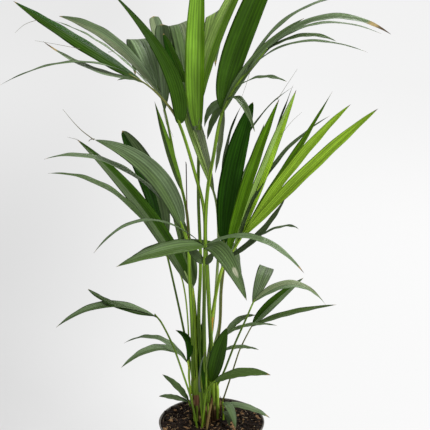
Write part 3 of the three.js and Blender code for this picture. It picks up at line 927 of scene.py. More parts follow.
@dataclass(frozen=True)
class Trunk:
    """A short trunk of sheaths that lap round the stalks standing on it.

    radii are those of its foot and top. scar is the stretch of its height that is brown, and
    scar_width the share of the way round, about its front. husks counts the dead strips at its foot.
    """

    foot: tuple[float, float]
    top: Point
    radii: tuple[float, float]
    scar: tuple[float, float] = (0, 0.12)
    skin: Coat = Coat.SHEATH
    husks: int = 7
    scar_width: float = 1

    SIDES = 48
    STEPS = 48
    DEPTH = 3
    FLARE_POWER = 3
    SHEATH = 0.9
    LEAST_REACH = 0.4
    WAIST = 0.94
    COLLAR = 9
    COLLAR_SHARE = 0.8
    RINGS = 2.5
    LAP = 0.5
    LUMP = 0.35
    SCAR_EDGE = (0.05, 0.02)
    SCAR_SIDE = 0.06
    RING_DRYNESS = 0.45
    MARK_SCALE = 0.07
    HUSK_DEPTH = 2
    HUSK_RISES = (0.35, 0.85)
    HUSK_WIDTHS = (3, 5.5)

    def stalks(self, name: str) -> list[tuple[float, float, float]]:
        """Offset and radius of each stalk that stands on this trunk."""
        found = [frond for frond in FRONDS if frond.foot and frond.foot.on == name]
        return [(*frond.foot.offset, frond.radii[0]) for frond in found]

    def reach(self, name: str, angle: float) -> float:
        """How far the sheaths round the stalks reach at the top, in a direction, in millimetres."""
        best = self.radii[1] * self.LEAST_REACH
        for x, y, radius in self.stalks(name):
            away = math.hypot(x, y)
            turn = angle - math.atan2(y, x)
            room = (radius + self.SHEATH) ** 2 - (away * math.sin(turn)) ** 2
            if room > 0:
                best = max(best, away * math.cos(turn) + math.sqrt(room))
        return best

    def build(self, name: str, luck: random.Random) -> None:
        """Makes the trunk's mesh."""
        skin = Skin(f"sheaths_{name}")
        foot = at_mm((*self.foot, SOIL_LEVEL - self.DEPTH))
        top = at_mm(self.top) + UP * self.COLLAR * MM
        height = (top - foot).length / MM
        drift = luck.uniform(0, 99)

        def place(turn: float, share: float) -> Vector:
            """The trunk's point at a share of a turn and of its height."""
            angle = 2 * math.pi * turn
            flare = mix(self.radii[1], self.radii[0], (1 - share) ** self.FLARE_POWER)
            radius = mix(flare * self.WAIST, self.reach(name, angle), ramp(-0.1, 0.6, share))
            radius *= mix(1, self.COLLAR_SHARE, ramp(1 - self.COLLAR / height, 1, share))
            ring = (share * self.RINGS + angle / (2 * math.pi)) % 1
            radius += self.LAP * ring * ramp(0.02, 0.3, share) * ramp(-1, -0.8, -share)
            spot = Vector((math.cos(angle) * 2, math.sin(angle) * 2, share * 3 + drift))
            radius += self.LUMP * noise.noise(spot)
            return foot.lerp(top, share) + outward(angle) * radius * MM

        def marks(turn: float, share: float) -> Sequence[float]:
            """The marks at the same place."""
            ring = (share * self.RINGS + turn) % 1
            dry = max(self.scarred(turn, share), self.RING_DRYNESS * ramp(0.8, 1, ring))
            return (abs(2 * turn - 1), share * self.MARK_SCALE, 0, dry)

        skin.wrap(self.SIDES, self.STEPS, place, skin.coat(self.skin), marks)
        self.add_husks(skin, luck)
        skin.piece("trunk", f"trunk_{name}")

    def scarred(self, turn: float, share: float) -> float:
        """How brown the scar is at a share of a turn and of the height."""
        low, high = self.scar
        before, after = self.SCAR_EDGE
        scar = ramp(low - before, low + after, share) * ramp(-high - before, -high + after, -share)
        half = self.scar_width / 2
        from_front = abs((turn + 0.75) % 1 - 0.5)
        return scar * ramp(-half - self.SCAR_SIDE, -half, -from_front)

    def add_husks(self, skin: Skin, luck: random.Random) -> None:
        """Adds dead strips of old sheaths round the foot."""
        foot = Vector((*self.foot, SOIL_LEVEL - self.HUSK_DEPTH))
        rise = Vector(self.top) - foot
        for index in range(self.husks):
            out = outward(2 * math.pi * (index + luck.uniform(0, 0.7)) / self.husks)
            root = foot + out * self.radii[0] * 0.8
            climb = rise * luck.uniform(*self.HUSK_RISES)
            tip = foot + climb + out * (self.radii[0] + luck.uniform(-1, 2.5))
            bow = tuple(out * luck.uniform(0.3, 1.2))
            width = luck.uniform(*self.HUSK_WIDTHS)
            turn = luck.uniform(-20, 40)
            strip = Leaflet(0, tuple(tip), bow, width, turn, Tone.HUSK, base=0.3, point=0.6, dry=0.3)
            strip.add_to(skin, at_mm(root), luck)


@dataclass(frozen=True)
class Pot:
    """A tapering nursery pot with a flared rim band and drain holes in its floor.

    rim, band, shoulder and foot are its outer radii from the top down: at the lip, under the band's
    flare, below the band and at the bottom.
    """

    height: float = 150
    rim: float = 85
    band: float = 81
    band_height: float = 16
    shoulder: float = 78.5
    foot: float = 60
    wall: float = 1.6
    floor: float = 2.4
    lip: float = 0.8
    drains: int = 6
    drain: float = 5
    drain_circle: float = 42
    floor_edge: float = 54
    sides: int = 128
    drain_sides: int = 24

    LIP_STEPS = 4
    AT_LEVEL = 0.01 * MM
    FLAT = 0.9
    SMALL_FACE = 30 * MM * MM
    CRISP_ANGLE = 50

    def profile(self) -> list[tuple[float, float]]:
        """The wall's half section, from the floor's edge inside over the rim to the one below.

        The numbers added to the pot's sizes are the small steps and roundings at each corner.
        """
        shoulder = self.height - self.band_height
        foot_inside = self.foot - self.wall
        turns = [math.pi / 2 * (1 - i / self.LIP_STEPS) for i in range(self.LIP_STEPS + 1)]
        lip_level = self.height - self.lip
        inner_wall = [
            (self.floor_edge, self.floor),
            (foot_inside - 1.2, self.floor),
            (foot_inside - 0.2, self.floor + 1),
            (self.shoulder - self.wall, shoulder),
            (self.band - self.wall - 0.6, shoulder + 2),
            (self.band - self.wall, shoulder + 3.2),
            (self.rim - self.wall - self.lip, self.height - 0.5),
            (self.rim - self.wall, self.height),
        ]
        lip = [
            (self.rim - self.lip * (1 - math.cos(turn)), lip_level + self.lip * math.sin(turn))
            for turn in turns
        ]
        rim_band = [
            (self.rim - 0.4, self.height - 2.6),
            (self.rim - 1.4, self.height - 3.4),
            (self.band + 0.5, shoulder + 1.4),
            (self.band, shoulder + 0.6),
            (self.band - 0.8, shoulder),
        ]
        outer_wall = [
            (self.shoulder, shoulder - 0.6),
            (self.foot + 0.6, 3),
            (self.foot, 1.2),
            (self.foot - 1.4, 0),
            (self.floor_edge, 0),
        ]
        return [*inner_wall, *lip, *rim_band, *outer_wall]

    def build(self) -> None:
        """Makes the pot: the wall by a full spin, the floor round its holes, and the holes' sides."""
        skin = Skin("nursery_pot")
        skin.coat(Coat.POT)
        mesh = skin.mesh
        spin_round(mesh, [at_mm((radius, 0, z)) for radius, z in self.profile()], self.sides)
        levels = []
        for level in (0, self.floor):
            rim = [edge for edge in mesh.edges if edge.is_boundary and self.is_at(edge, level)]
            holes = [self.add_drain(mesh, i, level) for i in range(self.drains)]
            around = [*rim, *(edge for hole in holes for edge in hole)]
            bmesh.ops.triangle_fill(mesh, use_beauty=True, edges=around)
            levels.append(holes)
        for low, high in zip(*levels):
            bmesh.ops.bridge_loops(mesh, edges=[*low, *high])
        bmesh.ops.recalc_face_normals(mesh, faces=mesh.faces)
        for face in mesh.faces:
            face.smooth = abs(face.normal.z) < self.FLAT or face.calc_area() < self.SMALL_FACE
        pot = skin.piece("pot", "pot")
        edge_split = pot.modifiers.new("crisp_edges", "EDGE_SPLIT")
        edge_split.split_angle = math.radians(self.CRISP_ANGLE)

    def is_at(self, edge: bmesh.types.BMEdge, level: float) -> bool:
        """Whether an edge lies at a height, in millimetres."""
        return all(abs(vert.co.z - level * MM) < self.AT_LEVEL for vert in edge.verts)

    def add_drain(self, mesh: bmesh.types.BMesh, index: int, level: float) -> list[bmesh.types.BMEdge]:
        """Adds the ring of one drain hole at a height and returns its edges."""
        centre = outward(2 * math.pi * index / self.drains) * self.drain_circle
        ring = bmesh.ops.create_circle(mesh, segments=self.drain_sides, radius=self.drain * MM)
        bmesh.ops.translate(mesh, verts=ring["verts"], vec=(centre + UP * level) * MM)
        return list({edge for vert in ring["verts"] for edge in vert.link_edges})


@dataclass(frozen=True)
class Compost:
    """The pot's filling: a rough surface with crumbs, bark chips and pale rootlets on it.

    swell and lumps give the size and the height of the surface's broad and small unevenness, bank
    is its rise at the edge, and shoulder the filling's edge below it: how far in and how far down.
    """

    radius: float = 82
    level: float = 145.8
    depth: float = 141
    bottom_radius: float = 58
    shoulder: tuple[tuple[float, float], ...] = ((3, 7), (5.6, 12))
    rings: int = 44
    sides: int = 150
    crumbs: int = 1000
    chips: int = 280
    fibres: int = 300
    bank: float = 2
    swell: tuple[float, float] = (34, 2)
    lumps: tuple[float, float] = (8, 1.6)

    FRACTAL = (0.9, 2.2, 4)
    BANK_START = 0.7
    LUMP_EDGE = 3
    LUMP_SPREAD = (1.1, 2.5)
    LUMP_ROUGHNESS = (0.75, 1.25)
    LUMP_RISE = 0.2
    FIBRE_RISES = (0.8, 0.9)
    FIBRE_EDGE = 2
    FIBRE_LENGTHS = (3, 12)
    FIBRE_RADII = (0.2, 0.5)
    FIBRE_TAPER = 0.4
    FIBRE_SIDES = 5
    FIBRE_STEP = 2 * MM

    def height(self, x: float, y: float) -> float:
        """The surface's height at a place, in millimetres."""
        spot = Vector((x, y, 0))
        swell = noise.noise(spot / self.swell[0]) * self.swell[1]
        lumps = noise.fractal(spot / self.lumps[0], *self.FRACTAL) * self.lumps[1]
        edge = ramp(self.BANK_START, 1, math.hypot(x, y) / self.radius)
        return self.level + swell * (1 - edge) + lumps + edge * self.bank

    def build(self, luck: random.Random) -> None:
        """Makes the filling and what lies on it."""
        skin = Skin("compost")
        skin.coat(Coat.COMPOST)
        mesh = skin.mesh
        step = self.radius / self.rings
        bottom = SOIL_LEVEL - self.depth
        outline = [(i * step, SOIL_LEVEL) for i in range(self.rings + 1)]
        outline += [(self.radius - inward, SOIL_LEVEL - down) for inward, down in self.shoulder]
        outline += [(self.bottom_radius, bottom), (0, bottom)]
        spin_round(mesh, [at_mm((radius, 0, z)) for radius, z in outline], self.sides)
        for vert in mesh.verts:
            if vert.co.z > (SOIL_LEVEL - 1) * MM:
                vert.co.z = self.height(vert.co.x / MM, vert.co.y / MM) * MM
        smooth_off(mesh)
        skin.piece("soil", "soil")
        self.scatter("crumbs", Coat.CRUMB, self.crumbs, luck, sizes=(1, 3.8), flats=(0.6, 1))
        self.scatter("bark_chips", Coat.CHIP, self.chips, luck, sizes=(0.8, 3.8), flats=(0.2, 0.5))
        self.strew(luck)

    def spot(self, luck: random.Random) -> Vector:
        """A place on the surface, spread evenly over it."""
        away = math.sqrt(luck.random()) * (self.radius - self.LUMP_EDGE)
        angle = luck.uniform(0, 2 * math.pi)
        x, y = away * math.cos(angle), away * math.sin(angle)
        return Vector((x, y, self.height(x, y)))

    def scatter(
        self,
        name: str,
        coat: Coat,
        count: int,
        luck: random.Random,
        sizes: tuple[float, float],
        flats: tuple[float, float],
    ) -> None:
        """Scatters lumps over the surface.

        Args:
            name: The piece's name.
            coat: Its finish.
            count: How many lumps there are.
            luck: The source of their sizes and places.
            sizes: The least and greatest radius, in millimetres.
            flats: The least and greatest share of that radius in height.
        """
        skin = Skin(name)
        skin.coat(coat)
        for _ in range(count):
            lump = bmesh.ops.create_icosphere(skin.mesh, subdivisions=1, radius=MM)["verts"]
            size = luck.uniform(*sizes)
            spot = self.spot(luck)
            long = size * luck.uniform(*self.LUMP_SPREAD)
            for vert in lump:
                vert.co *= luck.uniform(*self.LUMP_ROUGHNESS)
            bmesh.ops.scale(skin.mesh, verts=lump, vec=(long, size, size * luck.uniform(*flats)))
            turn = Quaternion((luck.uniform(-1, 1), luck.uniform(-1, 1), 3), luck.uniform(0, 6.3))
            bmesh.ops.rotate(skin.mesh, verts=lump, cent=(0, 0, 0), matrix=turn.to_matrix())
            bmesh.ops.translate(skin.mesh, verts=lump, vec=at_mm(spot + UP * size * self.LUMP_RISE))
        skin.piece("soil")

    def strew(self, luck: random.Random) -> None:
        """Strews bits of fibre and rootlets over the surface."""
        skin = Skin("rootlets")
        slot = skin.coat(Coat.FIBRE)
        for _ in range(self.fibres):
            start = self.spot(luck) + UP * self.FIBRE_RISES[0]
            way = Vector((luck.uniform(-1, 1), luck.uniform(-1, 1), 0)).normalized()
            reach = luck.uniform(*self.FIBRE_LENGTHS)
            bend = Vector((-way.y, way.x, 0)) * luck.uniform(-2, 2)
            points = [start, start + way * reach / 2 + bend + UP, start + way * reach]
            if max(math.hypot(point.x, point.y) for point in points) > self.radius - self.FIBRE_EDGE:
                continue
            for point in points[1:]:
                point.z = self.height(point.x, point.y) + self.FIBRE_RISES[1]
            line = Spline([at_mm(point) for point in points])
            radius = luck.uniform(*self.FIBRE_RADII) * MM
            radii = (radius, radius * self.FIBRE_TAPER)
            fibre = Limb(line, 0, 1, radii, sides=self.FIBRE_SIDES, step=self.FIBRE_STEP)
            fibre.add_to(skin, slot, 0, lambda share: 0)
        skin.piece("soil")


@dataclass(frozen=True)
class BareLimb:
    """A limb with no leaf: a dead stalk, a stub or a leaf that is still rolled up."""

    name: str
    slot: str
    skin: Coat
    foot: Foot
    path: tuple[Point, ...]
    radii: tuple[float, float]
    frays: int = 0

    STEP = 3 * MM
    GROOVE = 0.35
    FRAY_ROOT = 2 * MM
    FRAY_MIDDLE = 3 * MM
    FRAY_LENGTHS = (4, 7)
    FRAY_RADII = (0.5 * MM, 0.15 * MM)
    FRAY_SIDES = 5
    FRAY_STEP = 2 * MM

    def build(self, luck: random.Random) -> None:
        """Makes the limb and its frayed end."""
        skin = Skin(f"{self.name}_skin")
        slot = skin.coat(self.skin)
        line = Spline([self.foot.point(), *(at_mm(point) for point in self.path)])
        foot, top = (radius * MM for radius in self.radii)
        limb = Limb(line, 0, 1, (foot, top), step=self.STEP, groove=self.GROOVE, foot_flat=True)
        limb.add_to(skin, slot, 0, lambda share: ramp(0.7, 1, share))
        end = line.point(1)
        for _ in range(self.frays):
            way = Vector((luck.uniform(-1, 1), luck.uniform(-1, 1), 2)).normalized()
            root = end - UP * self.FRAY_ROOT
            tip = root + way * luck.uniform(*self.FRAY_LENGTHS) * MM
            strand = Spline([root, root + way * self.FRAY_MIDDLE, tip])
            fray = Limb(strand, 0, 1, self.FRAY_RADII, sides=self.FRAY_SIDES, step=self.FRAY_STEP)
            fray.add_to(skin, slot, 0, lambda share: share)
        skin.piece(self.slot, self.name)


# Painted shade: dark leaves put in the gaps among the stalks where there is only shade.
@dataclass(frozen=True)
class ShadeFillLeaves:
    """Narrow leaves that stand close among the stalks: the root and the leaf of each."""

    leaves: tuple[tuple[Point, Leaflet], ...]

    def build(self, luck: random.Random) -> None:
        """Makes the leaves as one piece."""
        skin = Skin("shade_fill_leaves")
        for root, leaf in self.leaves:
            leaf.add_to(skin, at_mm(root), luck)
        skin.piece("leaf_dark")


# ---------------------------------------------------------------- the plant's sizes

TRUNKS = {
    "left": Trunk((-22, 8), (-26, 7, 214), (8, 7), (0.42, 0.62), scar_width=0.14),
    "front": Trunk((-9, -7), (-12.5, -9, 206), (8.5, 6.8), skin=Coat.FRESH),
    "right": Trunk((7, 8), (5, 6, 208), (7.5, 6)),
    "back": Trunk((-8, 26), (-6, 24, 220), (9, 6.4)),
}

FRONDS = (
    Frond(
        "upper_left",
        "leaf_green",
        Foot("front", (-3.6, -2)),
        ((-12, -12, 325), (-10, -9, 425), (-11, -16, 500), (-23, -27, 555), (-49, -42, 641)),
        ((-67, -52, 668), (-86, -62, 688), (-113, -78, 707)),
        (3.1, 2.2, 0.8),
        (
            Leaflet(-0.04, (-142.3, -70, 823), (29.6, -4, -5), 23, 10, Tone.DEEP, base=0.42, point=1.2),
            Leaflet(0.78, (-262, -95, 803), (-3, -4, 4), 21, 34, Tone.DEEP, Tone.DARK, fold=-24),
            Leaflet(0.33, (-216, -20, 784), (4, 6, 21), 20, 38, Tone.GREY, Tone.SAGE, base=0.9),
            Leaflet(0.62, (-217, -60, 778), (3, 1, 12), 8, 78, Tone.SAGE),
            Leaflet(0.84, (-220, -120, 751), (-3, -5, -9), 11, 62, Tone.SAGE, Tone.SLATE, dry=0.12),
            Leaflet(0.98, (-275, -150, 695), (5, -6, 23), 13, 80, Tone.SAGE, point=1.1),
            Leaflet(0.7, (-127, -95, 699), (-2, 0, 5), 5, 60, Tone.SLATE),
        ),
        threads=(
            Thread(((-231, -92, 779), (-248, -96, 773), (-261, -100, 762))),
            Thread(((-175, -100, 741), (-205, -105, 747), (-233, -110, 752))),
            Thread(((-140, -80, 736), (-133, -80, 737), (-128, -80, 740))),
        ),
        # The rib's bronze coat is painted shade: its underside lies in shade.
        rib_skin=Coat.BRONZE,
    ),
    Frond(
        "back_left",
        "leaf_grey",
        Foot("left", (3.2, 3.4)),
        ((-30, 24, 295), (-34, 32, 400), (-39, 42, 485), (-56, 56, 558)),
        ((-69, 68, 623), (-78, 78, 658), (-88, 92, 684)),
        (2.8, 2.2, 1.2),
        (
            Leaflet(-0.2, (-88, 60, 656), (-1, 1, 0), 13, 20, Tone.GREEN, Tone.BRIGHT, point=1),
            Leaflet(0.66, (-133, 230, 686), (-13, 0, 76), 38, 62, Tone.SAGE, fold=3),
            Leaflet(
                0.65, (-93, 130, 785), (6, 5, 6), 22, 20, Tone.GREY, Tone.SAGE,
                fold=6, point=0.22, dry=0.004,
            ),
            Leaflet(
                0.5, (-73, 30, 773), (3, -7, 10), 28, 20, Tone.SAGE, Tone.SLATE,
                fold=6, point=0.25, dry=0.004,
            ),
        ),
        threads=(
            Thread(((-74, 45, 645), (-70, 45, 626), (-64, 45, 606))),
            Thread(((-71, 45, 641), (-67, 45, 623), (-59, 45, 603))),
        ),
    ),
    Frond(
        "back",
        "leaf_grey",
        Foot("back", (-3.4, -2)),
        ((3, 26, 315), (9, 22, 394), (11, 10, 444), (8, 2, 505)),
        ((2, 3, 530), (-12, 4, 575), (-27, 8, 618)),
        (2.6, 2, 1.2),
        (
            Leaflet(0.2, (-46, 30, 682), (1, -6, 2), 24, 10, Tone.PALE, Tone.GREY, base=0.9, point=0.5),
            Leaflet(0.96, (-73, 240, 700), (2, -49, 112), 38, 15, Tone.FERN, Tone.GREY, fold=5),
            Leaflet(0.96, (6, 240, 700), (16, -37, 132), 38, 54, Tone.PALE, Tone.GREY, fold=4, base=0.9),
        ),
        skin=Coat.SHADED,
    ),
    Frond(
        "centre",
        "leaf_bright",
        Foot("front", (-0.6, 4)),
        ((-20, 8, 319), (-17, 12, 409), (-20, 18, 512), (-19, 20, 600)),
        ((-17, 14, 637), (-13, 2, 668)),
        (3, 2.3, 1.2),
        (
            Leaflet(0, (-70, 10, 760), (2, 4, 1), 20, 10, Tone.DARK, Tone.DEEP, point=0.6, dry=0.004),
            Leaflet(
                0.1, (-11, -60, 903), (-8.5, -10, -33), 29, 5, Tone.BRIGHT, Tone.FRESH,
                fold=12, base=0.75, split=0.8,
            ),
            Leaflet(
                0.9, (80, 40, 893), (-26, 2, -21), 25, 10, Tone.PALE, Tone.BRIGHT,
                fold=24, base=0.75,
            ),
        ),
        threads=(
            Thread(((-17, -8, 638), (-15, -8, 623), (-8, -8, 610)), (0.5, 0.2)),
            Thread(((-18, -8, 635), (-20, -8, 620), (-14, -8, 606)), (0.5, 0.2)),
        ),
    ),
    Frond(
        "upper_right",
        "leaf_dark",
        Foot("right", (-3.4, -1)),
        ((-2, -6, 306), (-6, -21, 406), (-9, -28, 470), (-5, -34, 538), (3, -40, 585), (16, -48, 650)),
        ((38, -56, 693), (54, -60, 711), (78, -66, 741)),
        (3.3, 2.4, 0.8),
        (
            Leaflet(0.02, (124, -6, 930), (-28.5, -1, -35), 37, 5, Tone.DEEP, fold=14, point=0.7),
            Leaflet(0.5, (245, 10, 812), (-21, 4, 33), 15, 76, Tone.SAGE, Tone.FERN),
            Leaflet(0, (128, -60, 781), (-9, 0, 11), 15, 30, Tone.FERN, Tone.SAGE, base=0.5),
            Leaflet(0.97, (236, -120, 760), (-1, 3, 32), 19, 66, Tone.SAGE, Tone.SAGE, dry=0.14),
            Leaflet(0.92, (235, -60, 760), (-7, 2, 26), 13, 76, Tone.SAGE),
            Leaflet(0.94, (166, -110, 751), (2, 2, 14), 13, 68, Tone.FERN),
            Leaflet(0.5, (201, -150, 738), (-11, 5, 28), 13, 80, Tone.SAGE, point=1.1),
            Leaflet(0.24, (98, -150, 701), (0, 2, 11), 11, 80, Tone.SAGE),
            Leaflet(0.12, (59, -120, 632), (-1, -12, 22), 12, 40, Tone.FERN),
            Leaflet(0.12, (-10, 5, 623), (-6, 6, 7), 14, 40, Tone.SAGE, Tone.FERN),
            Leaflet(0.1, (-6, 0, 605), (-3, 7, 5), 12, 30, Tone.FERN, Tone.GREEN),
            Leaflet(0.05, (6, -15, 557), (1, 6, -3), 9, 30, Tone.GREY),
        ),
        threads=(Thread(((56, -60, 714), (49, -68, 692), (42, -75, 673))),),
    ),
    Frond(
        "middle_left",
        "leaf_green",
        Foot("left", (-3.3, -3)),
        ((-30, -6, 306), (-33, -16, 391), (-35, -26, 449), (-42, -32, 475)),
        ((-50, -38, 497), (-58, -42, 514)),
        (3.3, 2.4, 1),
        (
            Leaflet(
                0.1, (-158, -110, 620), (16, -3, 21), 31, 20, Tone.FERN, Tone.SAGE,
                base=0.5, dry=0.01,
            ),
            Leaflet(0.5, (-222, -140, 598), (-2, 3, 35), 17, 77, Tone.SAGE, point=1.1),
        ),
        threads=(
            Thread(
                ((-159, -110, 620), (-174, -115, 633), (-184, -120, 645), (-197, -125, 663)),
                (0.8, 0.2),
            ),
            Thread(((-158, -110, 621), (-163, -111, 621), (-166, -112, 618)), (0.9, 0.4)),
        ),
    ),
    Frond(
        "shaded_left",
        "leaf_dark",
        Foot("left", (-3.6, 3.2)),
        ((-34, 12, 240), (-44, 20, 294), (-56, 26, 353), (-72, 32, 425)),
        ((-76, 34, 437), (-80, 36, 450)),
        (2, 1.6, 1),
        (Leaflet(0.3, (-141, 75, 609), (15, 6, -1), 37, 12, Tone.DARK, Tone.SLATE, point=0.55, dry=0.004),),
    ),
    Frond(
        "inner_left",
        "leaf_dark",
        Foot("left", (3.3, -3.2)),
        ((-25, 10, 283), (-28, 8, 351), (-30, 6, 372)),
        ((-36, 5, 385), (-42, 4, 400)),
        (2.4, 2, 1),
        (
            Leaflet(
                0.15, (-199, -10, 607), (7, 0, 15), 25, 20, Tone.SLATE, Tone.DEEP,
                base=0.45, point=0.85,
            ),
            Leaflet(0, (-77, 60, 536), (13, 5, -22), 22, 20, Tone.GREEN),
        ),
        threads=(Thread(((-199, -10, 607), (-206, -12, 609), (-212, -15, 611))),),
        skin=Coat.OLIVE,
        rib_skin=Coat.SHADED,
    ),
    Frond(
        "lowest_left",
        "leaf_dark",
        Foot(at=(-34.8, 5.2, 196)),
        ((-36, 4, 250), (-37, 8, 310), (-42, 12, 363), (-49, 14, 392), (-61, 14, 412)),
        ((-74, 12, 426), (-80, 9, 437)),
        (1.3, 1.2, 0.9),
        (Leaflet(0.3, (-237, -45, 562), (10, -10, 37), 18, 76, Tone.FERN, point=1),),
        skin=Coat.OLIVE,
    ),
    Frond(
        "middle_right",
        "leaf_bright",
        Foot("right", (2.4, 3)),
        ((-1, 4, 303), (4, -2, 346), (13, -6, 395), (22, -9, 420)),
        ((34, -12, 438), (51, -18, 468)),
        (3.1, 2.4, 1),
        (
            Leaflet(0.1, (98, -30, 668), (-6, -10, 0), 21, 30, Tone.FRESH, fold=24),
            Leaflet(0.75, (124, 40, 683), (8, 8, 24), 12, 75, Tone.SLATE, point=1.1),
            Leaflet(0.5, (127, 20, 677), (2, 2, 7), 17, 15, Tone.PALE, Tone.LIME, fold=8),
            Leaflet(0.7, (184, 60, 634), (-20, -12, 19), 11, 60, Tone.SLATE),
            Leaflet(
                0.9, (174, -30, 679), (7, -2, 6), 17, 50, Tone.FRESH, Tone.BRIGHT,
                fold=24, point=1.3,
            ),
            Leaflet(0.95, (196, -60, 663), (4, -1, 16), 19, 48, Tone.LIME, fold=18),
            Leaflet(0.8, (225, -110, 662), (10, -2, 16), 21, 40, Tone.LIME, fold=24),
            Leaflet(0.12, (104, -90, 534), (6, 2, -8), 11, 45, Tone.SLATE, point=0.7),
            Leaflet(0.08, (122, -110, 495), (15, 2, 21.5), 7, 84, Tone.SAGE),
        ),
        skin=Coat.OLIVE,
        threads=(
            Thread(((95, -30, 667), (109, -25, 688), (124, -20, 710))),
            Thread(((104, 5, 611), (120, 8, 631), (135, 10, 645))),
        ),
        patch=(0.27, 0.4),
    ),
    Frond(
        "broad_right",
        "leaf_dark",
        Foot("back", (2.4, -2.8)),
        ((13, 12, 300), (16, 8, 367), (20, 2, 414), (19.5, -3, 438)),
        ((19, -2, 455), (18.5, 0, 475)),
        (1.7, 1.5, 1.2),
        (
            Leaflet(0.2, (60, -34, 664), (-9, 3, 1), 34, 10, Tone.DARK, base=0.55, point=0.65, dry=0.004),
            Leaflet(0.95, (45, 20, 653), (-11, 2, 12), 11, 65, Tone.SLATE),
            Leaflet(0.8, (128, 80, 677), (-22, -2, 25), 9, 72, Tone.SLATE),
        ),
        skin=Coat.BRONZE,
    ),
    Frond(
        "rear",
        "leaf_green",
        Foot("back", (-1, 3.2)),
        ((1, 28, 256), (12, 30, 300), (14, 36, 350), (17, 44, 398), (18, 48, 421)),
        ((20, 56, 444), (24, 72, 473), (29, 92, 499)),
        (2, 1.7, 0.9),
        (
            Leaflet(0.1, (-153, 190, 360), (-11, -10, 17), 20, 60, Tone.GREEN),
            Leaflet(0.9, (46, 235, 583), (1, 10, 10), 26, 20, Tone.GREY),
            Leaflet(0.2, (52, 190, 319), (2, -11, 17), 22, 50, Tone.GREEN),
            Leaflet(0.6, (89, 180, 607), (4, -4, -2), 14, 30, Tone.GREEN),
            Leaflet(1, (25, 235, 437), (5, 2, 66), 26, 15, Tone.GREY),
        ),
        skin=Coat.SHADED,
    ),
    Frond(
        "front",
        "leaf_green",
        Foot("front", (3.2, -2.8)),
        ((-11, -26, 314), (-11, -34, 377), (-11, -40, 422)),
        ((-10.5, -43, 436), (-10, -46, 455)),
        (2.9, 2.3, 1.4),
        (
            Leaflet(0.95, (-163, -120, 463), (-5, -2, 43), 13, 86, Tone.SAGE),
            Leaflet(
                0.97, (-130, -140, 449), (4, -2, 9), 26, 52, Tone.GREEN, Tone.FERN,
                base=0.6, point=1,
            ),
            Leaflet(0.8, (49, -150, 404), (-3, -6, 32), 27, 30, Tone.FERN, spot=(0.76, 0.42, 0.09)),
            Leaflet(0.95, (132, -100, 428), (3, 4, 30), 19, 76, Tone.SAGE, dry=0.05),
            Leaflet(0.1, (-34, -48, 456), (-2, 0, 0), 14, 20, Tone.SLATE, base=0.4, point=0.5),
            Leaflet(0.1, (2, -52, 444), (2, 0, -1), 11, 20, Tone.SLATE, base=0.4, point=0.5),
        ),
    ),
    Frond(
        "low_left",
        "leaf_green",
        Foot(soil=(-22, -24)),
        ((-33, -28, 204), (-43, -32, 241), (-60, -40, 297), (-77, -48, 337)),
        ((-81, -50, 343), (-85, -51, 349)),
        (1.7, 1.4, 1),
        (
            Leaflet(
                0.3, (-224, -100, 346), (-1, -1, 28), 19, 74, Tone.FERN, Tone.SAGE,
                base=0.85, point=1,
            ),
            Leaflet(0.7, (-184, -50, 388), (-4, -24, 2), 13, 74, Tone.DEEP, Tone.SLATE, point=0.6),
        ),
    ),
    Frond(
        "small_left",
        "leaf_green",
        Foot(at=(-32.7, 0.3, 196)),
        ((-36, -5, 225), (-36, -9, 247)),
        ((-37, -10, 252), (-38, -11, 257)),
        (1.6, 1.4, 1),
        (
            Leaflet(0.5, (-142, 30, 270), (5, 0, 25), 13, 76, Tone.SAGE),
            Leaflet(0.8, (-135, -70, 271), (4, 0, 27), 16, 72, Tone.FERN, Tone.SAGE),
            Leaflet(1, (-57, 10, 300), (11, -3, 8), 12, 20, Tone.DARK),
        ),
        skin=Coat.OLIVE,
    ),
    Frond(
        "low_right",
        "leaf_grey",
        Foot("right", (3.2, -3.4)),
        ((19, -4, 234), (37, -10, 286), (56, -4, 329), (63, 2, 344)),
        ((65, 3, 348), (68, 4, 353)),
        (1.8, 1.4, 1),
        (
            Leaflet(
                0.4, (92, 120, 363), (8, -12, 31.5), 25, 44, Tone.FERN, Tone.SLATE,
                fold=4, point=0.6,
            ),
            Leaflet(0.6, (179, 0, 345), (5, 0, 31), 20, 66, Tone.GREY, Tone.SAGE, point=1.3),
        ),
    ),
    Frond(
        "thin_right",
        "leaf_dark",
        Foot(soil=(15, 60)),
        ((32, 52, 203), (40, 46, 233), (46, 42, 254), (62, 33, 293)),
        ((65, 34, 298), (68, 35, 304)),
        (1.4, 1.1, 0.9),
        (
            Leaflet(0.7, (149, 60, 371), (-8, 3, -4), 18, 35, Tone.DEEP, Tone.SAGE),
            Leaflet(0.4, (195, 0, 346), (-10, -2, 4), 13, 66, Tone.GREEN, Tone.FERN),
        ),
        skin=Coat.BRONZE,
    ),
    Frond(
        "low_front",
        "leaf_dark",
        Foot(at=(-4.6, -15, 188)),
        ((-2, -15, 214),),
        ((9, -15, 246), (18, -11, 275), (22, -5, 300)),
        (2, 1.7, 0.9),
        (
            Leaflet(0.08, (24, -26, 318), (-2, -10, 6), 25, 10, Tone.DEEP),
            Leaflet(0.92, (71, 30, 318), (-4, 6, 7), 12, 55, Tone.SLATE),
            Leaflet(0.96, (104, 12, 307), (-5, 3, 8), 8, 66, Tone.SLATE),
            Leaflet(0.66, (76, 20, 263), (-2, 6, 3), 8, 60, Tone.SLATE),
        ),
    ),
    Frond(
        "low_single",
        "leaf_green",
        Foot(soil=(-16, -19)),
        ((-12, -21, 176), (-8, -22, 207), (0, -28, 226)),
        ((3, -30, 229), (6, -31, 232)),
        (1.7, 1.5, 1.2),
        (Leaflet(0.4, (89, -70, 259), (-1, 1, 9), 18, 62, Tone.GREEN, dry=0.05),),
    ),
    Frond(
        "sprout_left",
        "leaf_green",
        None,
        (),
        ((-34.6, 5, 172), (-36, 4, 178), (-37, 3, 184)),
